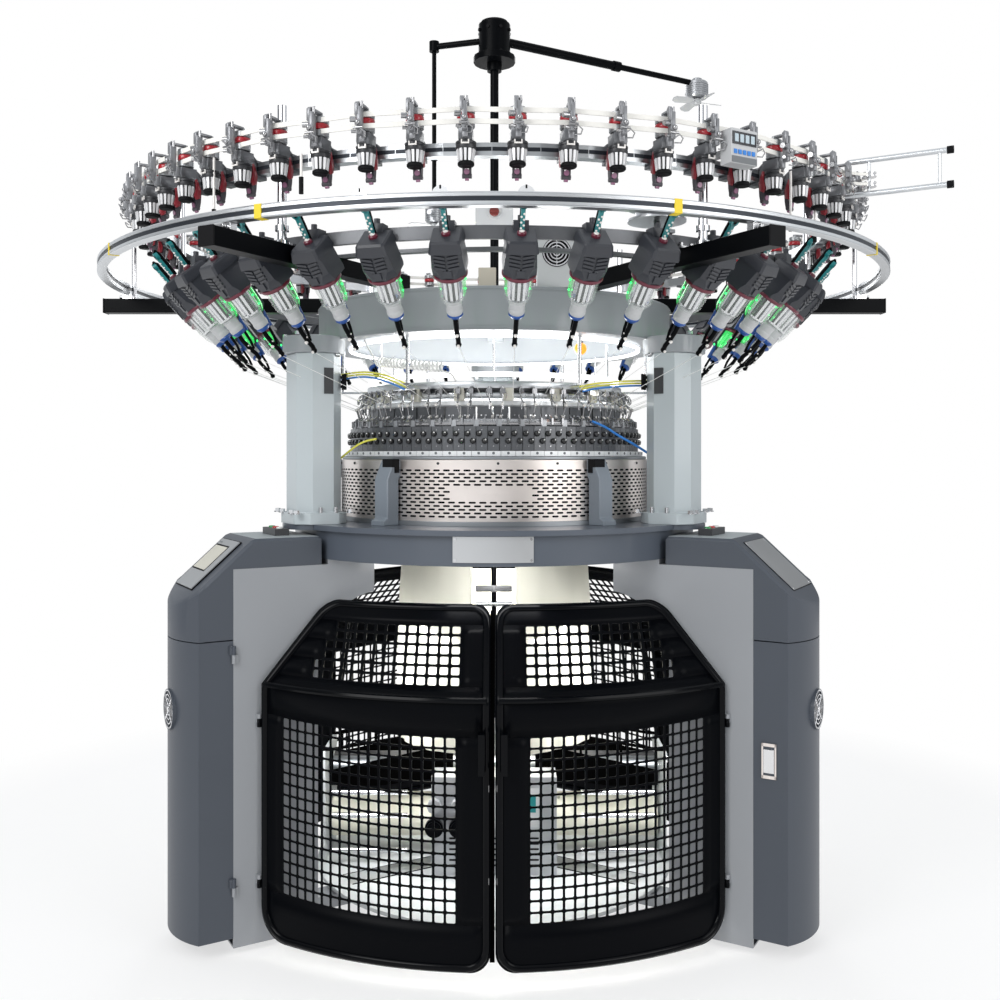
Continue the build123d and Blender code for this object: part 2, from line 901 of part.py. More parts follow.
guard_half = door_leaf(0, door_edge, door_top_edge, guard_mesh_columns // 2, guard_mesh_rows,
                       upper_mesh_columns - 2)
other_half = mirror(guard_half, about=Plane.YZ)
with BuildPart() as side_guards:
    for guard_angle in (-120, 120):
        with Locations(Location((0, 0, 0), (0, 0, 1), guard_angle)):
            add(guard_half)
            add(other_half)
        for tab_angle, tab_side in ((guard_angle + 60, -1), (guard_angle - 60, 1)):
            for height in door_hinge_heights:
                with BuildSketch(level_plane(tab_angle, height)):
                    with Locations((guard_tab_station, tab_side * (leg_half_width + guard_tab_size / 2))):
                        Rectangle(guard_tab_size, guard_tab_size)
                extrude(amount=knuckle_length)
finish(side_guards, "side_guards")


# Take-down under the bed

hub_top = turntable_bottom - running_gap
turntable_top = turntable_bottom + turntable_thickness

with BuildPart() as floor_spider:
    with BuildSketch(Plane.XY.offset(spider_bottom)):
        for spider_angle in leg_stations.values():
            with Locations(Location((0, 0, 0), (0, 0, 1), spider_angle - 90)):
                with Locations((leg_inner / 2, 0)):
                    Rectangle(leg_inner, spider_width)
    extrude(amount=spider_height)
    with BuildSketch(Plane.XY.offset(spider_bottom)):
        RegularPolygon(hub_radius, wheel_sides)
    extrude(amount=hub_top - spider_bottom)
finish(floor_spider, "floor_spider")

wing_end = upright_station + upright_thickness / 2
with BuildPart() as takedown_frame:
    with BuildSketch(Plane.XY.offset(turntable_bottom)):
        RegularPolygon(turntable_radius + 2 * upright_thickness, head_sides)
    extrude(amount=turntable_thickness)
    for side in (-1, 1):
        with BuildSketch(Plane.YZ.offset(side * upright_station - upright_thickness / 2)):
            with Locations((0, (turntable_top + upright_top) / 2)):
                Rectangle(upright_depth, upright_top - turntable_top)
            for roller_y, roller_z in roller_pairs:
                with Locations((roller_y, roller_z)):
                    add(axle_hole(axle_radius), mode=Mode.SUBTRACT)
            with Locations((0, cloth_roll_height)):
                add(axle_hole(axle_radius), mode=Mode.SUBTRACT)
        extrude(amount=upright_thickness)
    for side in (-1, 1):
        with BuildSketch(Plane.XZ):
            with BuildLine():
                Polyline(
                    (side * wing_inner, wing_top),
                    (side * wing_outer, upright_top + wing_sheet),
                    (side * wing_end, upright_top + wing_sheet),
                    (side * wing_end, upright_top),
                    (side * wing_outer, upright_top),
                    (side * wing_inner, wing_top - wing_sheet),
                    close=True,
                )
            make_face()
        extrude(amount=wing_depth / 2, both=True)
finish(takedown_frame, "takedown_frame")

roller_half = upright_station - upright_thickness / 2 - roller_side_gap


def make_roller(name, radius, y, z):
    """Roller across the take-down, turning on its axle ends in the uprights."""
    with BuildPart() as roller:
        with BuildSketch(Plane.YZ):
            with Locations((y, z)):
                RegularPolygon(radius, small_sides)
        extrude(amount=roller_half, both=True)
        with BuildSketch(Plane.YZ):
            with Locations((y, z)):
                RegularPolygon(axle_radius, small_sides)
        extrude(amount=roller_half + axle_length, both=True)
    finish(roller, name)


make_roller("draw_roller_front", roller_radius, *roller_pairs[0])
make_roller("draw_roller_back", roller_radius, *roller_pairs[1])
make_roller("cloth_roll", cloth_roll_radius, 0, cloth_roll_height)

# Drive case and the cloth

with BuildPart() as drive_case:
    with BuildSketch(Plane.XY.offset(turntable_top)):
        with Locations((0, -case_station)):
            Rectangle(case_size[0], case_size[1])
    extrude(amount=case_size[2])
    with BuildSketch(Plane.XZ.offset(case_station + case_size[1] / 2)):
        with Locations(*[(place, knob_height) for place in knob_places]):
            RegularPolygon(knob_radius, small_sides)
    extrude(amount=knob_length)
finish(drive_case, "drive_case")

wing_share = (wing_top - upright_top - wing_sheet) / (wing_outer - wing_inner)
cloth_flat = (cloth_radius - cloth_thickness) * cos(radians(180 / hidden_sides))
cloth_edge = sqrt(cloth_flat**2 - (wing_depth / 2) ** 2)
cloth_bottom = wing_top - (cloth_edge - wing_inner) * wing_share + 2 * running_gap
with BuildPart() as cloth_tube:
    add(ring(cloth_radius, cloth_radius - cloth_thickness, cloth_bottom, cloth_top - cloth_bottom, hidden_sides))
    with BuildSketch(Plane.XY.offset(cloth_bottom)):
        with Locations((0, -cloth_radius)):
            Rectangle(cloth_slit, cloth_radius)
    extrude(amount=cloth_slit_top - cloth_bottom, mode=Mode.SUBTRACT)
finish(cloth_tube, "cloth_tube")


# Drive in the rear leg

motor_base = floor_gap + leg_wall
motor_top = motor_base + motor_foot + motor_height
drive_station = (leg_inner + leg_outer) / 2

with BuildPart() as drive_motor:
    with BuildSketch(level_plane(leg_stations["rear"], motor_base)):
        with Locations((drive_station, 0)):
            Rectangle(2 * motor_radius, 2 * motor_radius)
            RegularPolygon(3 * anchor_hole_radius, small_sides, mode=Mode.SUBTRACT)
    extrude(amount=motor_foot)
    with BuildSketch(level_plane(leg_stations["rear"], motor_base + motor_foot)):
        with Locations((drive_station, 0)):
            RegularPolygon(motor_radius, wheel_sides)
    extrude(amount=motor_height)
finish(drive_motor, "drive_motor")

with BuildPart() as drive_shaft:
    with BuildSketch(level_plane(leg_stations["rear"], motor_top + running_gap)):
        with Locations((drive_station, 0)):
            RegularPolygon(shaft_radius, small_sides)
    extrude(amount=leg_top - leg_wall - motor_top - 2 * running_gap)
    with BuildSketch(level_plane(leg_stations["rear"], cap_seam)):
        with Locations((drive_station, 0)):
            RegularPolygon(pulley_radius, wheel_sides)
    extrude(amount=pulley_height)
finish(drive_shaft, "drive_shaft")


# Creel arms, rings, posts and beam

arm_top = crown_top + arm_size
rail_bottom = rail_centre - rail_height / 2

with BuildPart() as creel_arms:
    for arm_angle in arm_angles:
        with BuildSketch(facing_plane(arm_angle, arm_inner, crown_top + arm_size / 2)):
            Rectangle(arm_size, arm_size)
            Rectangle(arm_size - 2 * arm_wall, arm_size - 2 * arm_wall, mode=Mode.SUBTRACT)
        extrude(amount=arm_outer - arm_inner)
finish(creel_arms, "creel_arms")

ring_top = arm_top + ring_height
with BuildPart() as support_rings:
    add(ring(ring_radius, ring_radius - ring_thickness, arm_top, ring_height, 2 * storage_count, storage_phase))
    add(ring(inner_ring_radius, inner_ring_radius - inner_ring_width, arm_top, inner_ring_height, head_sides))
    with BuildSketch(level_plane(wheel_angle, ring_top)):
        with Locations(((wheel_station + ring_radius) / 2, 0)):
            Rectangle(ring_radius - wheel_station + 4 * wheel_pin_radius, 4 * wheel_pin_radius)
    extrude(amount=wheel_bracket_thickness)
    with BuildSketch(level_plane(wheel_angle, ring_top)):
        with Locations((wheel_station, 0)):
            RegularPolygon(wheel_pin_radius, small_sides)
    extrude(amount=wheel_bottom - running_gap - ring_top)
finish(support_rings, "support_rings")

with BuildPart() as guard_rail:
    add(ring(rail_radius + rail_width / 2, rail_radius - rail_width / 2, rail_bottom, rail_height))
finish(guard_rail, "guard_rail")


def sided_ring(apothem_out, apothem_in, bottom, height, sides):
    """Ring of straight bars, one bar centred on the first positive feeder."""
    share = cos(radians(180 / sides))
    turn = feeder_phase - 90 + 180 / sides
    return ring(apothem_out / share, apothem_in / share, bottom, height, sides, turn)


post_station = beam_inner / cos(radians(180 / feeder_count)) - post_radius - running_gap
beam_outer = beam_inner + beam_width
with BuildPart() as ring_posts:
    for arm_angle in arm_angles:
        with BuildSketch(level_plane(arm_angle, arm_top)):
            with Locations((post_station, 0)):
                RegularPolygon(post_radius, small_sides)
        extrude(amount=post_top - arm_top)
        with BuildSketch(level_plane(arm_angle, arm_top)):
            with Locations((rail_radius, 0)):
                Rectangle(rail_block_width, rail_width)
        extrude(amount=rail_bottom - arm_top)
    for side in (-90, 90):
        with BuildSketch(level_plane(side, arm_top)):
            with Locations((short_post_station, 0)):
                RegularPolygon(short_post_radius, small_sides)
        extrude(amount=short_post_top - arm_top)
    add(sided_ring(beam_outer, beam_inner, beam_bottom, beam_height, feeder_count))
finish(ring_posts, "ring_posts")

spool_inner = beam_outer + spool_body_width / 2
spool_outer = spool_inner + 2 * spool_radius
with BuildPart() as one_feeder:
    with BuildSketch(radial_plane(0)):
        with BuildLine():
            Polyline(
                (beam_outer, beam_bottom),
                (beam_outer, spool_body_top),
                (spool_inner, spool_body_top),
                (spool_inner, spool_top),
                (spool_outer, spool_top),
                (spool_outer, spool_bottom),
                (spool_inner, spool_bottom),
                (spool_inner, beam_bottom),
                close=True,
            )
        make_face()
    extrude(amount=spool_radius, both=True)
with BuildPart() as positive_feeders:
    with PolarLocations(0, feeder_count, start_angle=feeder_phase):
        add(one_feeder.part)
finish(positive_feeders, "positive_feeders")

belt_inner = spool_outer + running_gap
with BuildPart() as drive_belts:
    for level in belt_levels:
        add(sided_ring(belt_inner + belt_thickness, belt_inner, level, belt_height, feeder_count // 2))
finish(drive_belts, "drive_belts")


# Storage feeders on the support ring

slope_out = storage_tip[0] - storage_top[0]
slope_down = storage_tip[1] - storage_top[1]
storage_length = hypot(slope_out, slope_down)
axis_out = slope_out / storage_length
axis_up = slope_down / storage_length


def storage_point(along, aside):
    """Point of a storage feeder in its radial plane, along its axis and aside towards the machine."""
    return (
        storage_top[0] + axis_out * along + axis_up * aside,
        storage_top[1] + axis_up * along - axis_out * aside,
    )


clamp_face = ring_radius + running_gap
with BuildPart() as one_storage:
    with BuildSketch(radial_plane(0)):
        with BuildLine():
            upper_end = storage_point(storage_body_length, storage_half_depth)
            upper_start = storage_point(0, storage_half_depth)
            share = (upper_start[0] - clamp_face) / (upper_start[0] - upper_end[0])
            face_foot = upper_start[1] + (upper_end[1] - upper_start[1]) * share
            Polyline(
                (clamp_face, clamp_height),
                (clamp_outer, clamp_height),
                storage_point(0, -storage_half_depth),
                storage_point(storage_body_length, -storage_half_depth),
                upper_end,
                (clamp_face, face_foot - storage_heel),
                close=True,
            )
        make_face()
    extrude(amount=storage_width / 2, both=True)
    drum_start = storage_point(storage_body_length, 0)
    drum_plane = Plane(
        origin=(0, -drum_start[0], drum_start[1]),
        x_dir=(1, 0, 0),
        z_dir=(0, -axis_out, axis_up),
    )
    with BuildSketch(drum_plane):
        RegularPolygon(storage_drum_radius, 6)
    extrude(amount=storage_drum_length)
    with BuildSketch(drum_plane):
        RegularPolygon(storage_nose_radius, 6)
    extrude(amount=storage_drum_length + storage_nose_length)
    with BuildSketch(drum_plane):
        Rectangle(storage_arm_width, storage_arm_width)
    extrude(amount=storage_length - storage_body_length - storage_tip_gap)
with BuildPart() as storage_feeders:
    with PolarLocations(0, storage_count, start_angle=storage_phase):
        add(one_storage.part)
finish(storage_feeders, "storage_feeders")


# Fan mast

with BuildPart() as mast:
    with BuildSketch(Plane.XY.offset(crown_top)):
        RegularPolygon(mast_radius, small_sides)
    extrude(amount=mast_top - crown_top)
finish(mast, "mast")

hub_bottom = mast_top + running_gap
with BuildPart() as fan_hub:
    with BuildSketch(Plane.XY.offset(hub_bottom)):
        RegularPolygon(hub_flange_radius, wheel_sides)
    extrude(amount=hub_flange_height)
    with BuildSketch(Plane.XY.offset(hub_bottom)):
        RegularPolygon(fan_hub_radius, wheel_sides)
    extrude(amount=fan_hub_top - hub_bottom)
finish(fan_hub, "fan_hub")

with BuildPart() as fan_arms:
    with BuildSketch(facing_plane(outer_fan_angle, fan_hub_radius, fan_arm_height)):
        RegularPolygon(outer_tube_radius, small_sides)
    extrude(amount=telescope_split - fan_hub_radius)
    with BuildSketch(facing_plane(outer_fan_angle, telescope_split, fan_arm_height)):
        RegularPolygon(inner_tube_radius, small_sides)
    extrude(amount=outer_fan_reach - telescope_split + fan_motor_radius)
    with BuildSketch(level_plane(outer_fan_angle, fan_arm_height)):
        with Locations((outer_fan_reach, 0)):
            RegularPolygon(fan_motor_radius, small_sides)
    extrude(amount=-fan_motor_height)
    with BuildSketch(facing_plane(inner_fan_angle, 0, fan_arm_height)):
        RegularPolygon(inner_tube_radius, small_sides)
    extrude(amount=inner_fan_reach)
    with BuildSketch(level_plane(inner_fan_angle, drop_rod_bottom)):
        with Locations((inner_fan_reach, 0)):
            RegularPolygon(drop_rod_radius, small_sides)
    extrude(amount=fan_arm_height + inner_tube_radius - drop_rod_bottom)
    with BuildSketch(level_plane(inner_fan_angle, drop_rod_bottom)):
        with Locations((inner_fan_reach, 0)):
            RegularPolygon(inner_motor_radius, small_sides)
    extrude(amount=-fan_motor_height)
    with BuildSketch(Plane.XY.offset(hub_bottom)):
        RegularPolygon(fan_hub_radius + running_gap, wheel_sides)
    extrude(amount=fan_hub_top - hub_bottom, mode=Mode.SUBTRACT)
finish(fan_arms, "fan_arms")


def make_fan(name, angle, reach, top):
    """Four pitched blades on a small boss that turns under a fan motor."""
    centre = outward(angle) * reach
    with BuildPart() as fan:
        with BuildSketch(Plane.XY.offset(top - running_gap)):
            with Locations(centre):
                RegularPolygon(axle_radius, small_sides)
        extrude(amount=-blade_width / 2)
        for blade in range(blade_count):
            blade_turn = blade * 360 / blade_count
            blade_plane = Plane(
                origin=centre + Vector(0, 0, top - running_gap - blade_width / 4),
                x_dir=across(blade_turn),
                z_dir=Vector(0, 0, 1).rotate(Axis((0, 0, 0), across(blade_turn)), blade_pitch),
            )
            with BuildSketch(blade_plane):
                with Locations((blade_length / 2, 0)):
                    Rectangle(blade_length, blade_width)
            extrude(amount=blade_thickness / 2, both=True)
    finish(fan, name)


make_fan("outer_fan", outer_fan_angle, outer_fan_reach, fan_arm_height - fan_motor_height)
make_fan("inner_fan", inner_fan_angle, inner_fan_reach, drop_rod_bottom - fan_motor_height)


# Belt tension arms and their pulleys

beam_top = beam_bottom + beam_height
lower_arm_height = beam_top + tension_tube_radius
with BuildPart() as tension_arms:
    with BuildSketch(facing_plane(tension_angle, lower_arm_start, lower_arm_height)):
        RegularPolygon(tension_tube_radius, small_sides)
    extrude(amount=tension_arm_end - lower_arm_start)
    with BuildSketch(facing_plane(tension_angle, upper_arm_start, upper_arm_height)):
        RegularPolygon(tension_tube_radius, small_sides)
    extrude(amount=tension_arm_end - upper_arm_start)
    with BuildSketch(level_plane(tension_angle, lower_arm_height)):
        with Locations((tension_pin_station, 0)):
            RegularPolygon(tension_pin_radius, small_sides)
        with Locations((tension_post_station, 0)):
            RegularPolygon(tension_pin_radius, small_sides)
    extrude(amount=upper_arm_height - lower_arm_height)
finish(tension_arms, "tension_arms")

with BuildPart() as tension_pulleys:
    for level in belt_levels:
        with BuildSketch(level_plane(tension_angle, level)):
            with Locations((tension_pin_station, 0)):
                RegularPolygon(tension_pulley_radius, small_sides)
                add(axle_hole(tension_pin_radius), mode=Mode.SUBTRACT)
        extrude(amount=tension_pulley_height)
finish(tension_pulleys, "tension_pulleys")


# Quality wheel on its bracket

with BuildPart() as quality_wheel:
    groove_bottom = wheel_bottom + wheel_disc
    for radius, low, high in (
        (wheel_radius, wheel_bottom, groove_bottom),
        (wheel_hub_radius, groove_bottom, groove_bottom + wheel_groove),
        (wheel_radius, groove_bottom + wheel_groove, groove_bottom + wheel_groove + wheel_disc),
    ):
        with BuildSketch(level_plane(wheel_angle, low)):
            with Locations((wheel_station, 0)):
                RegularPolygon(radius, hidden_sides)
        extrude(amount=high - low)
finish(quality_wheel, "quality_wheel")


# Counter, junction box and power supply

counter_angle = arm_angles[3]
with BuildPart() as control_boxes:
    with BuildSketch(facing_plane(counter_angle, counter_station, counter_bottom + counter_size[2] / 2)):
        Rectangle(counter_size[0], counter_size[2])
    extrude(amount=counter_size[1])
    with BuildSketch(level_plane(counter_angle, beam_top + running_gap)):
        with Locations(((post_station + post_radius + counter_station) / 2, 0)):
            Rectangle(counter_station - post_station - post_radius, counter_strap[0])
    extrude(amount=counter_strap[1])
    with BuildSketch(Plane.XY.offset(junction_bottom)):
        with Locations((0, -mast_radius - junction_size[1] / 2)):
            Rectangle(junction_size[0], junction_size[1])
    extrude(amount=junction_size[2])
    with BuildSketch(Plane.XY.offset(crown_top)):
        with Locations((power_x, -power_front + power_size[1] / 2)):
            Rectangle(power_size[0], power_size[1])
    extrude(amount=power_size[2])
finish(control_boxes, "control_boxes")
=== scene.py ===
"""Looks of a large-diameter circular knitting machine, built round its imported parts."""

from math import asin, cos, degrees, pi, radians, sin, sqrt

import bpy
from mathutils import Matrix, Vector


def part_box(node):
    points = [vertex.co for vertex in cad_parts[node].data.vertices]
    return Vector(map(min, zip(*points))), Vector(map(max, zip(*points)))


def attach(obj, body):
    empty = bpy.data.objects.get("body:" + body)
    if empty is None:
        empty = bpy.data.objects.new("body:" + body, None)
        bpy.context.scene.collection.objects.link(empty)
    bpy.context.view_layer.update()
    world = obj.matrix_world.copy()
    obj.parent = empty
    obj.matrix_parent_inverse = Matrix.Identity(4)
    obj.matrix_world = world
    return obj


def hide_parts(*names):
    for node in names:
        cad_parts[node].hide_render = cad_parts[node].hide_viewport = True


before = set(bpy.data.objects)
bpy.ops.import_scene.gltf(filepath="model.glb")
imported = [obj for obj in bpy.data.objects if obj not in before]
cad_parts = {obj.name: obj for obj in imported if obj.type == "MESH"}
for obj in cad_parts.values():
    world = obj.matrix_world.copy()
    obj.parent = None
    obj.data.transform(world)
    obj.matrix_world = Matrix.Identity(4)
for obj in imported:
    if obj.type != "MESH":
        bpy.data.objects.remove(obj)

bl_info = {
    "name": "Circular Knitting Machine",
    "version": (1, 0, 0),
    "blender": (4, 5, 0),
    "location": "3D Viewport > Sidebar > Knitting",
    "description": "Dresses the parts of a circular knitting machine",
    "category": "Object",
}

MM = 0.001
ROOT = "machine"
ROTOR = "rotor"
LEGS = {"left": -60, "right": 60, "rear": 180}
ARMS = range(-150, 151, 60)
BOX_SIDES = [(0, 1, 3, 2), (4, 6, 7, 5), (0, 4, 5, 1), (2, 3, 7, 6), (0, 2, 6, 4), (1, 5, 7, 3)]
CREASE = 38


# Shapes


def turn(angle):
    """Rotation that takes a piece drawn at the front to the station at this angle."""
    return Matrix.Rotation(radians(angle), 4, "Z")


def at(angle, reach, height, aside=0.0):
    """Point at a station: outward from the axis, up, and aside to the right of it."""
    return turn(angle) @ Vector((aside, -reach, height))


def arc_points(centre, radius, start, end, steps):
    """Points of an arc in a plane, its angles in degrees."""
    return [
        (
            centre[0] + radius * cos(radians(start + (end - start) * i / steps)),
            centre[1] + radius * sin(radians(start + (end - start) * i / steps)),
        )
        for i in range(steps + 1)
    ]


class Form:
    """Faces of one piece, in millimetres in the machine's frame."""

    def __init__(self, place=None):
        self.points, self.faces, self.kinds = [], [], []
        self.kind = 0
        self.place = place or Matrix.Identity(4)

    def put(self, points, faces):
        start = len(self.points)
        self.points += [self.place @ Vector(p) for p in points]
        self.faces += [[start + i for i in f] for f in faces]
        self.kinds += [self.kind] * len(faces)
        return self

    def box(self, low, high):
        (a, b, c), (d, e, f) = low, high
        corners = [(x, y, z) for x in (a, d) for y in (b, e) for z in (c, f)]
        return self.put(corners, BOX_SIDES)

    def skin(self, rows, closed=False, flip=False):
        """Faces between rows of points; closed joins each row to a ring and fills the first and last."""
        n, last = len(rows[0]), len(rows) - 1
        faces = [
            (r * n + k, r * n + (k + 1) % n, (r + 1) * n + (k + 1) % n, (r + 1) * n + k)
            for r in range(last)
            for k in range(n if closed else n - 1)
        ]
        if closed:
            faces += [tuple(range(n))[::-1], tuple(range(last * n, (last + 1) * n))]
        return self.put([p for row in rows for p in row], [f[::-1] for f in faces] if flip else faces)

    def prism(self, outline, low, high, place=None):
        """Outline in X and Y, drawn up from low to high."""
        n = len(outline)
        local = place or Matrix.Identity(4)
        points = [local @ Vector((x, y, z)) for z in (low, high) for x, y in outline]
        faces = [list(range(n))[::-1], list(range(n, 2 * n))]
        faces += [(i, (i + 1) % n, n + (i + 1) % n, n + i) for i in range(n)]
        return self.put(points, faces)

    def turned(self, profile, sides=32, place=None, closed=True):
        """Profile of (radius, height) turned about Z."""
        local = place or Matrix.Identity(4)
        count = len(profile)
        points = [
            local @ Vector((r * cos(2 * pi * k / sides), r * sin(2 * pi * k / sides), z))
            for k in range(sides)
            for r, z in profile
        ]
        faces = []
        for k in range(sides):
            a, b = k * count, (k + 1) % sides * count
            for i in range(count if closed else count - 1):
                j = (i + 1) % count
                faces.append((a + i, b + i, b + j, a + j))
        if not closed:
            if profile[0][0] > 1e-6:
                faces.append([k * count for k in range(sides)][::-1])
            if profile[-1][0] > 1e-6:
                faces.append([k * count + count - 1 for k in range(sides)])
        return self.put(points, faces)

    def hoop(self, inner, outer, low, high, sides=32, place=None):
        """Ring of rectangular section."""
        return self.turned([(inner, low), (outer, low), (outer, high), (inner, high)], sides, place)

    def wedge(self, inner, outer, angles, low, high):
        """Block between two radii, from the first angle to the last."""
        corners = [(outer, a) for a in angles] + [(inner, a) for a in angles[::-1]]
        return self.prism([(r * sin(radians(a)), -r * cos(radians(a))) for r, a in corners], low, high)

    def round(self, radius, low, high, sides=24, place=None, edge=0.0):
        """Disc or drum about Z with softened rims."""
        e = min(edge, radius / 2, abs(high - low) / 2)
        profile = [(radius - e, low), (radius, low + e), (radius, high - e), (radius - e, high)]
        if e == 0:
            profile = [(radius, low), (radius, high)]
        return self.turned(profile, sides, place, closed=False)

    def rod(self, start, end, radius, sides=12, far_radius=None):
        start, end = Vector(start), Vector(end)
        line = end - start
        place = Matrix.Translation(start) @ line.to_track_quat("Z", "Y").to_matrix().to_4x4()
        far = radius if far_radius is None else far_radius
        return self.turned([(radius, 0), (far, line.length)], sides, place, closed=False)

    def post(self, angle, reach, low, high, radius, sides, aside=0.0):
        """Upright rod at a station."""
        return self.rod(at(angle, reach, low, aside), at(angle, reach, high, aside), radius, sides)

    def stub(self, angle, near, far, height, radius, sides, aside=0.0):
        """Level rod that leads away from the axis at a station."""
        return self.rod(at(angle, near, height, aside), at(angle, far, height, aside), radius, sides)

    def pipe(self, path, radius, sides=8, closed=False, flat=None):
        """Tube along a path; flat gives a second radius across it for a strip."""
        path = [Vector(p) for p in path]
        n = len(path)
        tangents = []
        for i in range(n):
            before = path[i - 1] if i or closed else path[0]
            after = path[(i + 1) % n] if i + 1 < n or closed else path[-1]
            tangents.append((after - before).normalized())
        up = Vector((0, 0, 1)) if abs(tangents[0].z) < 0.9 else Vector((1, 0, 0))
        side = tangents[0].cross(up).normalized()
        rows = []
        for p, t in zip(path, tangents):
            side = (side - t * side.dot(t)).normalized()
            other = t.cross(side)
            tall = radius if flat is None else flat
            turns = [2 * pi * k / sides for k in range(sides)]
            rows.append([p + side * radius * cos(a) + other * tall * sin(a) for a in turns])
        points = [p for row in rows for p in row]
        faces = []
        for i in range(n if closed else n - 1):
            a, b = i * sides, (i + 1) % n * sides
            faces += [(a + k, a + (k + 1) % sides, b + (k + 1) % sides, b + k) for k in range(sides)]
        if not closed:
            faces += [list(range(sides))[::-1], list(range((n - 1) * sides, n * sides))]
        return self.put(points, faces)

    def ball(self, centre, radius, sides=12, rings=8):
        profile = [(radius * sin(pi * i / rings), -radius * cos(pi * i / rings)) for i in range(rings + 1)]
        profile[0], profile[-1] = (0.001, -radius), (0.001, radius)
        return self.turned(profile, sides, Matrix.Translation(Vector(centre)), closed=False)

    def mesh(self, name, looks, angle=CREASE):
        data = bpy.data.meshes.new(name)
        data.from_pydata([p * MM for p in self.points], [], self.faces)
        for look in looks:
            data.materials.append(LOOKS[look])
        data.polygons.foreach_set("material_index", self.kinds)
        data.polygons.foreach_set("use_smooth", [True] * len(self.faces))
        data.set_sharp_from_angle(angle=radians(angle))
        data.update()
        return data

    def piece(self, name, looks, body=ROOT, stands=(), slot=None, angle=CREASE, bevel=0.0):
        """Links the piece to the scene and seats it on its body."""
        obj = linked(name, self.mesh(name, looks, angle))
        if bevel:
            soften(obj, bevel)
        return seat(obj, body, stands)

    def pattern(self, name, look, bevel=0.0):
        """Unlinked object that a node tree repeats."""
        obj = linked(name, self.mesh(name, [look]))
        if bevel:
            soften(obj, bevel)
        bpy.context.scene.collection.objects.unlink(obj)
        return obj


def linked(name, data):
    """New object in the scene."""
    obj = bpy.data.objects.new(name, data)
    bpy.context.scene.collection.objects.link(obj)
    return obj


def add_bevel(obj, width):
    edge = obj.modifiers.new("Soft edges", "BEVEL")
    edge.width = width * MM
    edge.segments = 2
    edge.limit_method = "ANGLE"
    edge.angle_limit = radians(CREASE)
    edge.harden_normals = True


def soften(obj, width):
    add_bevel(obj, width)
    bake(obj)


def thicken(obj, thickness, join=0.0, offset=0.0):
    """Gives a sheet its thickness, after joining points that are closer than the join."""
    if join:
        obj.modifiers.new("Join", "WELD").merge_threshold = join * MM
    sheet = obj.modifiers.new("Sheet", "SOLIDIFY")
    sheet.thickness = thickness * MM
    sheet.offset = offset
    bake(obj)


def bake(obj):
    """Replaces an object's modifiers by the plain mesh that they make."""
    bpy.context.view_layer.update()
    graph = bpy.context.evaluated_depsgraph_get()
    made = bpy.data.meshes.new_from_object(obj.evaluated_get(graph), depsgraph=graph)
    obj.modifiers.clear()
    obj.data = made
    return obj


def seat(obj, body, stands=()):
    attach(obj, body)
    if stands:
        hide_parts(*stands)
    return obj


# Shader sums


class Wire:
    """Output socket of a node tree that takes part in sums."""

    def __init__(self, tree, socket):
        self.tree, self.socket = tree, socket

    def math(self, kind, *others):
        node = self.tree.nodes.new("ShaderNodeMath")
        node.operation = kind
        for place, value in zip(node.inputs, (self, *others)):
            connect(self.tree, value, place)
        return Wire(self.tree, node.outputs[0])

    def __rsub__(self, other):
        return (self * -1).math("ADD", other)


# What the signs and the plain methods of a Wire do in the node tree
SUMS = {
    "__add__": "ADD",
    "__sub__": "SUBTRACT",
    "__mul__": "MULTIPLY",
    "__truediv__": "DIVIDE",
    "__gt__": "GREATER_THAN",
    "floor": "FLOOR",
    "root": "SQRT",
    "sine": "SINE",
    "remainder": "FLOORED_MODULO",
}
for method, operation in SUMS.items():
    setattr(Wire, method, lambda self, *others, kind=operation: self.math(kind, *others))


def connect(tree, value, place):
    if isinstance(value, Wire):
        tree.links.new(value.socket, place)
    elif value is not None:
        place.default_value = value


def node(tree, kind, out=0, settings=None, **values):
    """Adds a node; each value goes to the input of that name, _ for a space, or of the number after n."""
    made = tree.nodes.new(kind)
    for key, value in (settings or {}).items():
        setattr(made, key, value)
    for key, value in values.items():
        numbered = key[0] == "n" and key[1:].isdigit()
        connect(tree, value, made.inputs[int(key[1:]) if numbered else key.replace("_", " ")])
    return Wire(tree, made.outputs[out])


LOOKS = {}
GLOSS_SPREAD = 0.05


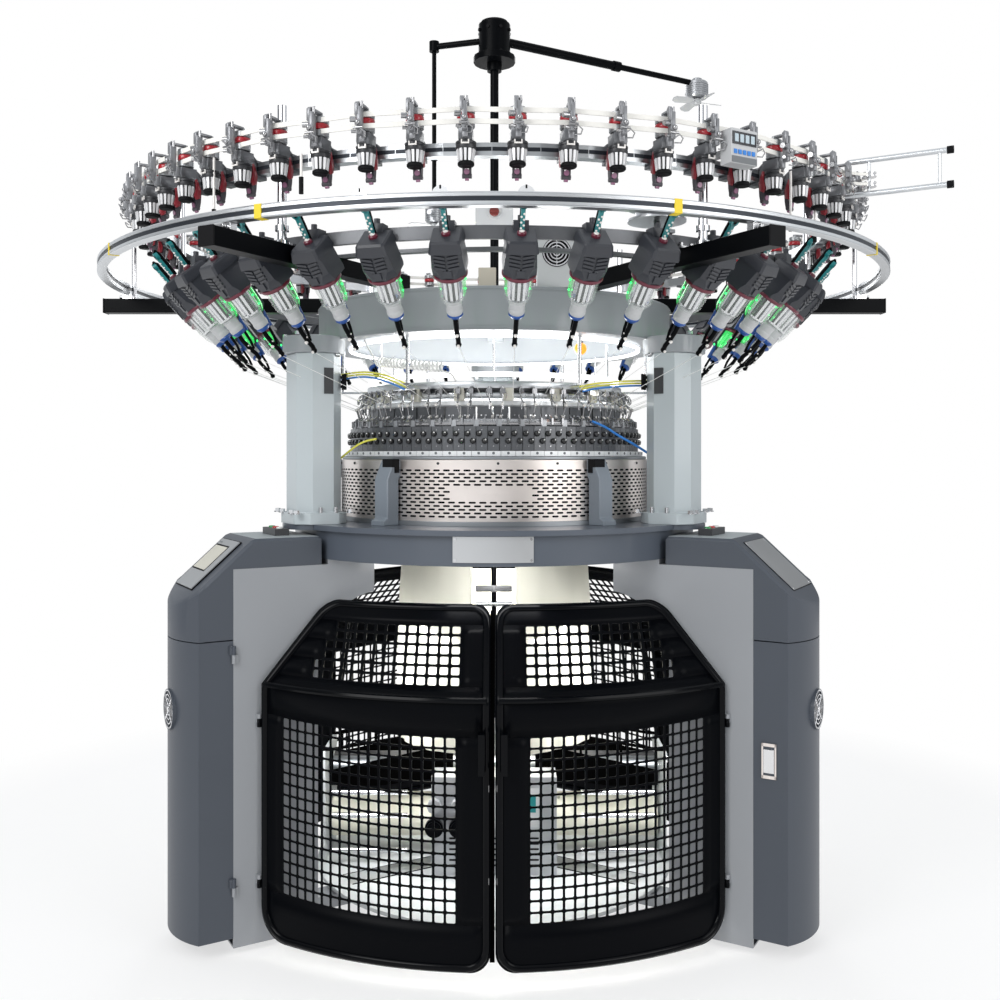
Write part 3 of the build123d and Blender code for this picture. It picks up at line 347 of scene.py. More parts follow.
def look(
    name, colour, rough, metal=0.0, coat=0.0, bump=None, glow=0.0, alpha=1.0, vary=0.06, scale=6.0, shine=0.5
):
    """Procedural material: slight changes of colour and gloss, and a fine surface if bump is given."""
    material = bpy.data.materials.new(name)
    material.use_nodes = True
    tree = material.node_tree
    shader = tree.nodes["Principled BSDF"]
    place = node(tree, "ShaderNodeTexCoord", 3)
    cloud = node(tree, "ShaderNodeTexNoise", 0, Vector=place, Scale=scale, Detail=4.0)
    tint = node(
        tree,
        "ShaderNodeMix",
        2,
        {"data_type": "RGBA", "blend_type": "MIX"},
        n0=cloud,
        n6=(*[c * (1 - vary) for c in colour], 1),
        n7=(*[min(1, c * (1 + vary)) for c in colour], 1),
    )
    connect(tree, tint, shader.inputs["Base Color"])
    connect(tree, (cloud - 0.5) * GLOSS_SPREAD + rough, shader.inputs["Roughness"])
    shader.inputs["Metallic"].default_value = metal
    shader.inputs["Coat Weight"].default_value = coat
    shader.inputs["Specular IOR Level"].default_value = shine
    shader.inputs["Coat Roughness"].default_value = 0.08
    shader.inputs["Alpha"].default_value = alpha
    if glow:
        shader.inputs["Emission Color"].default_value = (*colour, 1)
        shader.inputs["Emission Strength"].default_value = glow
    if bump:
        size, depth, stretch = bump
        grain = node(
            tree,
            "ShaderNodeTexNoise",
            0,
            Vector=node(tree, "ShaderNodeMapping", 0, Vector=place, Scale=stretch),
            Scale=size,
            Detail=3.0,
        )
        rise = node(tree, "ShaderNodeBump", 0, Height=grain, Strength=depth, Distance=0.001)
        connect(tree, rise, shader.inputs["Normal"])
    LOOKS[name] = material


def make_looks():
    even = (1, 1, 1)
    brushed = (6, 6, 160)
    look("panel_grey", (0.285, 0.297, 0.315), 0.38, coat=0.15, bump=(900, 0.08, even), vary=0.03)
    look("cover_grey", (0.066, 0.076, 0.094), 0.45, coat=0.05, shine=0.35, bump=(700, 0.12, even), vary=0.05)
    look("bed_grey", (0.085, 0.1, 0.125), 0.34, coat=0.25, bump=(260, 0.10, even), vary=0.05)
    look("bracket_grey", (0.19, 0.22, 0.255), 0.4, coat=0.2, bump=(400, 0.2, even))
    look("column_grey", (0.46, 0.51, 0.53), 0.35, coat=0.3, bump=(300, 0.10, even), vary=0.04)
    look("crown_grey", (0.31, 0.33, 0.35), 0.34, coat=0.4, bump=(180, 0.14, even), vary=0.07)
    look("gloss_black", (0.0016, 0.002, 0.003), 0.34, bump=(300, 0.05, even), shine=0.05)
    look("tube_black", (0.0012, 0.0016, 0.0025), 0.18, coat=0.02, shine=0.1)
    # Black of the take-down wings; the same paint is also the painted shade in the door gap and beside the
    # turntable's arms.
    look("wing_black_and_shade", (0.001, 0.001, 0.001), 0.6, shine=0.0)
    look("black_paint", (0.0018, 0.0022, 0.003), 0.34, shine=0.06)
    look("matte_black", (0.006, 0.006, 0.007), 0.6, shine=0.12)
    look("knob_black", (0.004, 0.004, 0.005), 0.28, coat=0.3)
    look("guide_steel", (0.36, 0.36, 0.37), 0.24, 1.0)
    look("cage_steel", (0.85, 0.85, 0.86), 0.35, 0.3)
    look("cast_dark", (0.15, 0.155, 0.165), 0.36, 0.5, vary=0.12, scale=30)
    look("collar_dark", (0.035, 0.036, 0.04), 0.4, 0.2)
    look("arm_dark", (0.055, 0.05, 0.06), 0.4)
    look("dull_steel", (0.42, 0.42, 0.43), 0.26, 1.0)
    look("chamber_pale", (0.5, 0.52, 0.53), 0.45)
    look("plate_grey", (0.3, 0.31, 0.32), 0.4)
    look("mid_grey", (0.27, 0.275, 0.29), 0.36, 0.4, vary=0.1, scale=30)
    look("red_brown", (0.16, 0.02, 0.015), 0.35)
    look("steel", (0.86, 0.79, 0.75), 0.32, 1.0, bump=(60, 0.12, brushed), vary=0.08, scale=14)
    look("bright_steel", (0.75, 0.75, 0.76), 0.18, 1.0)
    look("chrome", (0.82, 0.82, 0.84), 0.07, 1.0, vary=0.02)
    look("aluminium", (0.63, 0.65, 0.67), 0.3, 1.0, bump=(80, 0.08, (2, 2, 60)), vary=0.05)
    # Paint of the painted shade inside the rail's and the beam's grooves.
    look("groove_shade", (0.03, 0.035, 0.045), 0.4, 0.5)
    look("rail_side", (0.66, 0.68, 0.7), 0.36, 0.8, bump=(80, 0.1, (2, 2, 60)))
    look("ring_dull", (0.34, 0.35, 0.36), 0.38, 0.7, vary=0.08)
    look("band_steel", (0.33, 0.35, 0.37), 0.36, 0.9, bump=(80, 0.1, (2, 2, 40)))
    look("segment_grey", (0.115, 0.12, 0.13), 0.33, 0.35, coat=0.2)
    look("pale_ring", (0.8, 0.81, 0.82), 0.32, 0.3, vary=0.04)
    look("cast_light", (0.42, 0.43, 0.45), 0.34, 0.6, vary=0.1, scale=30)
    look("feeder_grey", (0.031, 0.034, 0.043), 0.42, coat=0.1, bump=(900, 0.1, even))
    look("plastic_grey", (0.14, 0.15, 0.16), 0.4, coat=0.1)
    look("plastic_light", (0.5, 0.51, 0.52), 0.4)
    look("maroon", (0.13, 0.012, 0.03), 0.35, coat=0.3)
    look("wine_red", (0.25, 0.01, 0.02), 0.35, coat=0.2)
    look("red_plastic", (0.4, 0.01, 0.02), 0.3, coat=0.4)
    look("clear_plastic", (0.75, 0.8, 0.78), 0.06, alpha=0.13, vary=0.02)
    look("green_clear", (0.02, 0.75, 0.12), 0.1, alpha=0.55, glow=0.9)
    # Glow of the painted green highlights on the storage feeders' glass.
    look("green_light", (0.03, 0.9, 0.16), 0.3, glow=2.2)
    look("teal", (0.008, 0.19, 0.2), 0.35, coat=0.3)
    look("blue_plastic", (0.01, 0.07, 0.3), 0.35, coat=0.2)
    look("ceramic", (0.83, 0.8, 0.77), 0.2, coat=0.4)
    look("pink_ceramic", (0.3, 0.13, 0.22), 0.25, coat=0.4)
    look("belt_white", (0.86, 0.845, 0.8), 0.6)
    look("cloth", (0.86, 0.84, 0.72), 0.85, bump=(900, 0.5, (1, 1, 3)), vary=0.05, scale=3)
    look("rubber", (0.02, 0.02, 0.021), 0.7)
    look("screen_lit", (0.35, 0.42, 0.46), 0.25, glow=0.35)
    look("display_dark", (0.012, 0.014, 0.02), 0.2, coat=0.5)
    look("button_green", (0.01, 0.28, 0.06), 0.3, coat=0.5)
    look("button_red", (0.5, 0.01, 0.01), 0.3, coat=0.5)
    look("button_white", (0.75, 0.75, 0.73), 0.3, coat=0.4)
    look("tape_yellow", (0.8, 0.6, 0.02), 0.5)
    look("cable_yellow", (0.75, 0.72, 0.1), 0.45)
    look("cable_blue", (0.02, 0.2, 0.62), 0.4)
    look("lamp_orange", (1.0, 0.28, 0.02), 0.3, glow=1.2)
    look("hose_white", (0.85, 0.85, 0.83), 0.4)
    look("lamp_white", (1.0, 1.0, 1.0), 0.4, glow=1.5)
    look("lamp_strip", (0.93, 0.97, 1.0), 0.4, glow=1.6)
    look("yarn", (0.86, 0.86, 0.84), 0.7)
    look("beige", (0.55, 0.5, 0.42), 0.5)
    look("beige_light", (0.62, 0.6, 0.52), 0.5)
    look("bare_plate", (0.6, 0.61, 0.62), 0.3, 0.9, bump=(80, 0.15, (120, 4, 4)))


# Node trees that repeat


def new_tree(name, sizes):
    """Geometry tree with named inputs and an output."""
    tree = bpy.data.node_groups.new(name, "GeometryNodeTree")
    for label, kind, value in sizes:
        place = tree.interface.new_socket(name=label, in_out="INPUT", socket_type=f"NodeSocket{kind}")
        if value is not None:
            place.default_value = value
    tree.interface.new_socket(name="Geometry", in_out="OUTPUT", socket_type="NodeSocketGeometry")
    given = tree.nodes.new("NodeGroupInput")
    ports = {label: Wire(tree, given.outputs[label]) for label, _, _ in sizes}
    return tree, ports


def close_tree(tree, shape, material):
    solid = node(tree, "GeometryNodeRealizeInstances", Geometry=shape)
    painted = node(tree, "GeometryNodeSetMaterial", Geometry=solid, Material=material)
    out = tree.nodes.new("NodeGroupOutput")
    tree.links.new(painted.socket, out.inputs[0])


def ring_tree():
    """Copies of a piece round the machine's axis, in one or more staggered rows."""
    tree, port = new_tree(
        "Ring of pieces",
        (
            ("Piece", "Object", None),
            ("Count", "Int", 12),
            ("Rows", "Int", 1),
            ("Start", "Float", 0.0),
            ("Step", "Float", 0.1),
            ("Rise", "Float", 0.0),
            ("Stagger", "Float", 0.0),
            ("Material", "Material", None),
        ),
    )
    index = node(tree, "GeometryNodeInputIndex")
    row = (index / port["Count"]).floor()
    column = index.remainder(port["Count"])
    turned = port["Start"] + port["Step"] * (column + port["Stagger"] * row.remainder(2))
    place = node(tree, "ShaderNodeCombineXYZ", X=0.0, Y=0.0, Z=row * port["Rise"])
    points = node(tree, "GeometryNodePoints", Count=port["Count"] * port["Rows"], Position=place)
    shape = node(tree, "GeometryNodeObjectInfo", 4, {"transform_space": "ORIGINAL"}, Object=port["Piece"])
    copies = node(
        tree,
        "GeometryNodeInstanceOnPoints",
        Points=points,
        Instance=shape,
        Rotation=node(tree, "ShaderNodeCombineXYZ", X=0.0, Y=0.0, Z=turned),
    )
    close_tree(tree, copies, port["Material"])
    return tree


def bowed_tree():
    """Grid of a flat piece bent over the bowed door, its upper part leaning back to a second arc."""
    tree, port = new_tree(
        "Bowed grille",
        (
            ("Piece", "Object", None),
            ("Columns", "Int", 18),
            ("Rows", "Int", 16),
            ("Pitch", "Float", 0.031),
            ("Rise", "Float", 0.032),
            ("First across", "Float", 0.1),
            ("First up", "Float", 0.2),
            ("Slant from", "Float", 9.0),
            ("Slant", "Float", 0.0),
            ("Arc", "Float", 1.195),
            ("Arc middle", "Float", 0.373),
            ("Upper arc", "Float", 1.132),
            ("Upper middle", "Float", 0.518),
            ("Fold", "Float", 0.805),
            ("Top", "Float", 1.047),
            ("Climb", "Float", 0.0155),
            ("Bulge", "Float", 0.0),
            ("Material", "Material", None),
        ),
    )
    index = node(tree, "GeometryNodeInputIndex")
    row = (index / port["Columns"]).floor()
    column = index.remainder(port["Columns"])
    along = port["First across"] + column * port["Pitch"]
    height = port["First up"] + row * port["Rise"]
    place = node(tree, "ShaderNodeCombineXYZ", X=along, Y=0.0, Z=height)
    points = node(tree, "GeometryNodePoints", Count=port["Columns"] * port["Rows"], Position=place)
    limit = port["Slant from"] - port["Slant"] * (row * port["Rise"])
    kept = node(
        tree,
        "GeometryNodeDeleteGeometry",
        0,
        {"domain": "POINT"},
        Geometry=points,
        Selection=along > limit,
    )
    shape = node(tree, "GeometryNodeObjectInfo", 4, {"transform_space": "ORIGINAL"}, Object=port["Piece"])
    copies = node(tree, "GeometryNodeInstanceOnPoints", Points=kept, Instance=shape)
    flat = node(tree, "GeometryNodeRealizeInstances", Geometry=copies)
    spot = tree.nodes.new("ShaderNodeSeparateXYZ")
    tree.links.new(node(tree, "GeometryNodeInputPosition").socket, spot.inputs[0])
    x, y, z = [Wire(tree, out) for out in spot.outputs]
    part = (x - port["First across"]) / (port["Columns"] * port["Pitch"])
    along = x + port["Bulge"] * part * (1 - part)
    across = (along / port["Arc"]).sine() * port["Arc"]
    low = port["Arc middle"] - (port["Arc"] * port["Arc"] - across * across).root()
    high = port["Upper middle"] - (port["Upper arc"] * port["Upper arc"] - across * across).root()
    share = ((z - port["Fold"]) / (port["Top"] - port["Fold"])).math("MAXIMUM", 0.0)
    fade = ((z - 0.04) / 0.133).math(
        "MINIMUM", (port["Fold"] - z) / 0.103
    ).math("MINIMUM", 1.0).math("MAXIMUM", 0.0)
    climb = across * across / 0.393 * port["Climb"] * fade
    bent = node(tree, "ShaderNodeCombineXYZ", X=across, Y=low + (high - low) * share + y, Z=z + climb)
    moved = node(tree, "GeometryNodeSetPosition", Geometry=flat, Position=bent)
    close_tree(tree, moved, port["Material"])
    return tree


TREES = {}


def repeat(
    kind, name, piece, material, body=ROOT, stands=(), slot=None, thickness=0.0, angle=CREASE, **sizes
):
    """Runs a node tree on an empty mesh and keeps the plain mesh that it makes."""
    tree = TREES[kind]
    obj = linked(name, bpy.data.meshes.new(name))
    bpy.context.scene.collection.objects.link(piece)
    step = obj.modifiers.new("Repeat", "NODES")
    step.node_group = tree
    chosen = {
        "Piece": piece, "Material": LOOKS[material], **{k.replace("_", " "): v for k, v in sizes.items()}
    }
    for item in tree.interface.items_tree:
        if item.in_out == "INPUT" and item.name in chosen:
            step[item.identifier] = chosen[item.name]
    bake(obj)
    if thickness:
        thicken(obj, thickness, join=0.2)
    obj.data.polygons.foreach_set("use_smooth", [True] * len(obj.data.polygons))
    obj.data.set_sharp_from_angle(angle=radians(angle))
    bpy.data.objects.remove(piece)
    obj.data.name = name
    return seat(obj, body, stands)


def around(
    name, form, material, count, start=0.0, step=None, rows=1, rise=0.0, stagger=0.0, bevel=0.0, **more
):
    """Ring of copies of a piece drawn at the front; angles in degrees, the rise in millimetres."""
    return repeat(
        "ring",
        name,
        form.pattern(name + "_one", material, bevel),
        material,
        Count=count,
        Rows=rows,
        Start=radians(start),
        Step=radians(360 / count if step is None else step),
        Rise=rise * MM,
        Stagger=stagger,
        **more,
    )


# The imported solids


CAD_LOOKS = {
    "panel_grey": ("leg_frame_left", "leg_frame_right", "leg_frame_rear", "floor_spider"),
    "cover_grey": ("leg_caps", "leg_cover_left", "leg_cover_right", "leg_cover_rear"),
    "bed_grey": ("bed",),
    "bracket_grey": ("ring_brackets",),
    "column_grey": ("columns",),
    "crown_grey": ("crown",),
    "rubber": ("floor_pads",),
    "bright_steel": ("cover_latch_left", "cover_latch_right", "cover_latch_rear", "drive_shaft"),
    "steel": ("cylinder", "ring_gear", "guide_ring"),
    "collar_dark": ("button_stations",),
    "plastic_light": ("control_boxes",),
    "black_paint": ("creel_arms", "fan_hub"),
    "tube_black": ("door_handle_left", "door_handle_right"),
    "cast_light": ("drive_case", "drive_motor"),
    "cast_dark": ("support_rings",),
}
EDGES = {"leg_caps": 1.5, "creel_arms": 3.0, "columns": 3.0, "bed": 2.5, "crown": 3.0, "ring_brackets": 4.0}
UNBEVELLED = {"cylinder", "guide_ring", "ring_gear"}


def finish_tree():
    """Joins a solid's split edges, softens them and shades its flats as rounds."""
    tree = bpy.data.node_groups.new("Joined solid", "GeometryNodeTree")
    tree.interface.new_socket(name="Geometry", in_out="INPUT", socket_type="NodeSocketGeometry")
    tree.interface.new_socket(name="Geometry", in_out="OUTPUT", socket_type="NodeSocketGeometry")
    given, out = tree.nodes.new("NodeGroupInput"), tree.nodes.new("NodeGroupOutput")
    joined = node(
        tree, "GeometryNodeMergeByDistance", Geometry=Wire(tree, given.outputs[0]), Distance=0.00002
    )
    smooth = node(tree, "GeometryNodeSetShadeSmooth", 0, {"domain": "FACE"}, n0=joined, n1=True, n2=True)
    fold = node(tree, "GeometryNodeInputMeshEdgeAngle")
    crisp = node(
        tree, "GeometryNodeSetShadeSmooth", 0, {"domain": "EDGE"}, n0=smooth, n1=fold > radians(30), n2=False
    )
    tree.links.new(crisp.socket, out.inputs[0])
    return tree


class CadSettings(bpy.types.PropertyGroup):
    edge: bpy.props.FloatProperty(
        name="Edge", description="Width of the softened edges", default=0.0012, unit="LENGTH"
    )


class KNIT_OT_solids(bpy.types.Operator):
    """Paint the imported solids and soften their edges"""

    bl_idname = "knit.solids"
    bl_label = "Solids"

    def execute(self, context):
        tree = finish_tree()
        for material, names in CAD_LOOKS.items():
            for name in names:
                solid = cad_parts[name]
                solid.data.materials.clear()
                solid.data.materials.append(LOOKS[material])
                solid.modifiers.new("Joined", "NODES").node_group = tree
                if name not in UNBEVELLED:
                    add_bevel(solid, EDGES.get(name, context.scene.knit_cad.edge / MM))
        return {"FINISHED"}


# Legs and panels


def slope_place(angle):
    """Frame on a leg cap's slope: X across, Y up the slope, Z out of it."""
    low, high = Vector((0, -1087, 1094)), Vector((0, -922, 1242))
    up = (high - low).normalized()
    across = Vector((1, 0, 0))
    out = across.cross(up)
    axes = Matrix((across, up, out)).transposed().to_4x4()
    return turn(angle) @ Matrix.Translation((low + high) / 2) @ axes


def wall_place(angle, reach, height, aside=0.0):
    """Frame on an outer wall: X across, Y up, Z outward."""
    axes = Matrix(((1, 0, 0), (0, 0, 1), (0, -1, 0))).transposed().to_4x4()
    return turn(angle) @ Matrix.Translation((aside, -reach, height)) @ axes


CAP_SEAM, CAP_SLOPE = 943, 148 / 165
NOSE_MIDDLE, NOSE_PARTS = 887, 12
NOSE_STEP = asin(150 / 250) / NOSE_PARTS
FAN_REACH, FAN_HEIGHT = 1137, 724


class KNIT_OT_legs(bpy.types.Operator):
    """Add the cap noses, fan grilles, touch panel, plate and buttons of the legs"""

    bl_idname = "knit.legs"
    bl_label = "Leg details"

    def execute(self, context):
        for name, angle in LEGS.items():
            grille = Form(wall_place(angle, FAN_REACH, FAN_HEIGHT))
            for radius in (18, 31, 44, 57):
                grille.hoop(radius - 1.6, radius + 1.6, 1, 5)
            for spoke in range(4):
                direction = Matrix.Rotation(radians(45 + 90 * spoke), 4, "Z")
                grille.rod(direction @ Vector((8, 0, 3)), direction @ Vector((61, 0, 3)), 2.0, 8)
            grille.round(9, 0, 6, 20, edge=1)
            grille.piece(f"fan_grille_{name}", ["chrome"], f"leg_cover_{name}")
            latch = Form(turn(angle))
            sides = ((-1054, -1049, 535.5, 640.5), (-1015, -1010, 535.5, 640.5))
            for y0, y1, z0, z1 in (*sides, (-1054, -1010, 535.5, 545), (-1054, -1010, 631, 640.5)):
                latch.box((-154.6, y0, z0), (-152.8, y1, z1))
            latch.piece(f"latch_plate_{name}", ["steel"], f"leg_cover_{name}")
            bowl = Form(wall_place(angle, FAN_REACH, FAN_HEIGHT))
            bowl.round(60, -3, 0.6, 36)
            bowl.piece(f"fan_opening_{name}", ["matte_black"], f"leg_cover_{name}")
            nose = Form(turn(angle))
            rows = []
            for radius, side, rise in ((250, 150.1, None), (250, 150.1, -8), (242, 142, 0.3)):
                turns = [k * NOSE_STEP for k in range(-NOSE_PARTS, NOSE_PARTS + 1)]
                arc = [(radius * sin(a), NOSE_MIDDLE + radius * cos(a)) for a in turns]
                rows.append([
                    (x, -y, CAP_SEAM if rise is None else 1094 - (y - 1087) * CAP_SLOPE + rise)
                    for x, y in [(-side, 1070), *arc, (side, 1070)]
                ])
            nose.skin(rows, closed=True)
            nose.piece(f"cap_nose_{name}", ["cover_grey"], angle=30)
            # Lighter grey sheet on each cap's flat top: a painted reflection that makes the top face look
            # brighter than the cap.
            top = Form(turn(angle))
            top.box((-140, -913, 1241), (140, -713, 1242.5))
            top.piece(f"cap_top_{name}", ["column_grey"])
        # The black slab under the grey plate reaches 3 mm past it all round: a painted shade line for the gap
        # round the plate.
        panel = Form(slope_place(-60))
        panel.box((-107, -117, 0.4), (88, 88, 4))
        panel.box((-101, -48, 4), (40, 60, 7.6))
        panel.kind = 1
        panel.box((-104, -114, 4), (85, 84, 7))
        panel.kind = 2
        panel.box((-97, -43, 7), (35, 54, 8.2))
        panel.kind = 3
        for x in (-92, -76):
            panel.box((x, 66, 7), (x + 10, 72, 7.8))
        panel.piece(
            "touch_panel", ["matte_black", "plate_grey", "beige_light", "plastic_grey"],
            stands=["cap_panels"], slot="panel_dark", bevel=0.5
        )
        plate = Form(slope_place(60))
        plate.box((-97, -117, 0.4), (112, 90, 2.2))
        plate.kind = 1
        plate.box((-95, -115, 2.2), (110, 88, 3.4))
        plate.kind = 2
        for x in (-88, 103):
            for y in (-108, 81):
                plate.round(3, 3.4, 4.6, 12, Matrix.Translation((x, y, 0)))
        plate.piece("slope_plate", ["matte_black", "bare_plate", "bright_steel"])
        for side in ("left", "right"):
            for kind, paint in (("run", "button_green"), ("stop", "button_red"), ("inch", "button_white")):
                button = f"{kind}_button_{side}"
                low, high = [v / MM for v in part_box(button)]
                middle, foot, top = (low + high) / 2, low.z, high.z
                cap = Form(Matrix.Translation((middle.x, middle.y, 0)))
                profile = [
                    (8.4, foot + 0.2), (10.4, foot + 2.4), (10.4, top - 1.5), (8.8, top), (6, top - 0.6)
                ]
                cap.turned(profile, 28, closed=False)
                cap.piece(f"{kind}_cap_{side}", [paint], button, [button], angle=50)
        station = Form()
        for angle in (LEGS["left"], LEGS["right"]):
            for aside in (-58, 58):
                station.post(angle, 805, 1264, 1265.5, 3.2, 12, aside)
        station.piece("station_screws", ["bright_steel"])
        return {"FINISHED"}


# Bed, columns and crown details


class KNIT_OT_structure(bpy.types.Operator):
    """Add the bolts, lamps and bare plate of the bed, columns and crown"""

    bl_idname = "knit.structure"
    bl_label = "Bed, columns and crown"

    def execute(self, context):
        plate = Form()
        near, far, parts = 701.2, 703.2, 16
        half = degrees(asin(118 / 700))
        section = ((near, 1181), (near, 1257), (far, 1257), (far, 1181))
        plate.skin(
            [[at(half * (2 * i / parts - 1), *p) for p in section] for i in range(parts + 1)], closed=True
        )
        plate.kind = 1
        for angle in (-degrees(asin(111 / 700)), degrees(asin(111 / 700))):
            for z in (1188, 1250):
                plate.stub(angle, far, far + 2.5, z, 4, 12)
        plate.piece("bed_plate", ["bare_plate", "bright_steel"])

        bolts = Form()
        for leg in LEGS.values():
            for aside in (-92, -46, 46, 92):
                for reach in (588, 768):
                    if abs(aside) == 92 or reach == 768:
                        bolts.post(leg, reach, 1312, 1322, 9, 6, aside)
                        bolts.post(leg, reach, 1310, 1313, 13, 16, aside)
            for aside in (-97, 97):
                for reach in (640, 690):
                    bolts.post(leg, reach, 1312, 1330, 6.3, 12, aside)
            for aside in (-60, 60):
                bolts.post(leg, 752, 1879, 1890, 10, 6, aside)
                bolts.stub(leg, 620, 634, 1820, 8, 12, aside * 1.3)
        bolts.piece("frame_bolts", ["bright_steel"])

        lamps = Form()
        lamps.hoop(508, 516, 1861, 1870.5, 96)
        lamps.piece("crown_lamp", ["lamp_strip"])
        ring = Form()
        ring.pipe([at(360 * k / 72, 440, 1752) for k in range(72)], 8, 10, closed=True)
        ring.kind = 1
        for k in range(6):
            ring.post(60 + 60 * k, 440, 1758, 1871, 3.5, 8)
        ring.piece("head_lamp", ["lamp_white", "bright_steel"])
        vents = Form()
        for leg, side in ((-60, 1), (60, -1)):
            vents.place = turn(leg)
            for k in range(3):
                z = 1714 + 15 * k
                vents.box((side * 62 - 12, -606, z), (side * 62 + 12, -596, z + 9))
            vents.box((side * 62 - 14, -600, 1708), (side * 62 + 14, -594, 1759))
            vents.kind = 1
            near, far = sorted((side * 89, side * 92))
            vents.box((near, -676, 1692), (far, -645, 1775))
            vents.kind = 0
        vents.piece("column_vents", ["matte_black", "collar_dark"])
        blocks = Form()
        for angle in (-36, 36, 84, 156, -156, -84):
            blocks.place = turn(angle)
            low, high = (-12, 29.5) if angle in (-36, 84, -156) else (-29.5, 12)
            blocks.box((low, -578, 1458), (high, -545, 1483.5))
            blocks.box((low, -566, 1440), (high, -545, 1458))
        blocks.piece("bracket_blocks", ["matte_black"])
        hoops = Form()
        for z in (1878, 1994):
            hoops.hoop(621, 622.5, z, z + 4, 120)
        hoops.piece("crown_beads", ["crown_grey"])
        return {"FINISHED"}


# Knitting head


def slotted_cell(width, height, slot_w, slot_h, reach, low):
    """Wall cell of a perforated guard at the front: an outer frame round a slot with rounded ends."""
    end, w, h = (slot_w - slot_h) / 2, width / 2, height / 2
    hole = arc_points((end, 0), slot_h / 2, -90, 90, 3) + arc_points((-end, 0), slot_h / 2, 90, 270, 3)
    rim = [(max(-w, min(w, x * w / (slot_w / 2 - 1.2))), h if y > 0 else -h) for x, y in hole]
    points = [(reach * sin(x / reach), -reach * cos(x / reach), low + h + y) for x, y in hole + rim]
    n = len(hole)
    return Form().put(points, [(i, n + i, n + (i + 1) % n, (i + 1) % n) for i in range(n)])


def curved_sheet(form, reach, start, end, low, high, step=2.5):
    """Piece of a drum's wall between two angles."""
    n = max(1, int(abs(end - start) / step + 0.5))
    angles = [start + (end - start) * i / n for i in range(n + 1)]
    form.skin([[at(a, reach, z) for a in angles] for z in (low, high)])


class HeadSettings(bpy.types.PropertyGroup):
    segments: bpy.props.IntProperty(
        name="Segments", description="Cam segments round the head", default=88, min=24
    )
    slots: bpy.props.IntProperty(name="Slots", description="Slots round the guard", default=104, min=24)


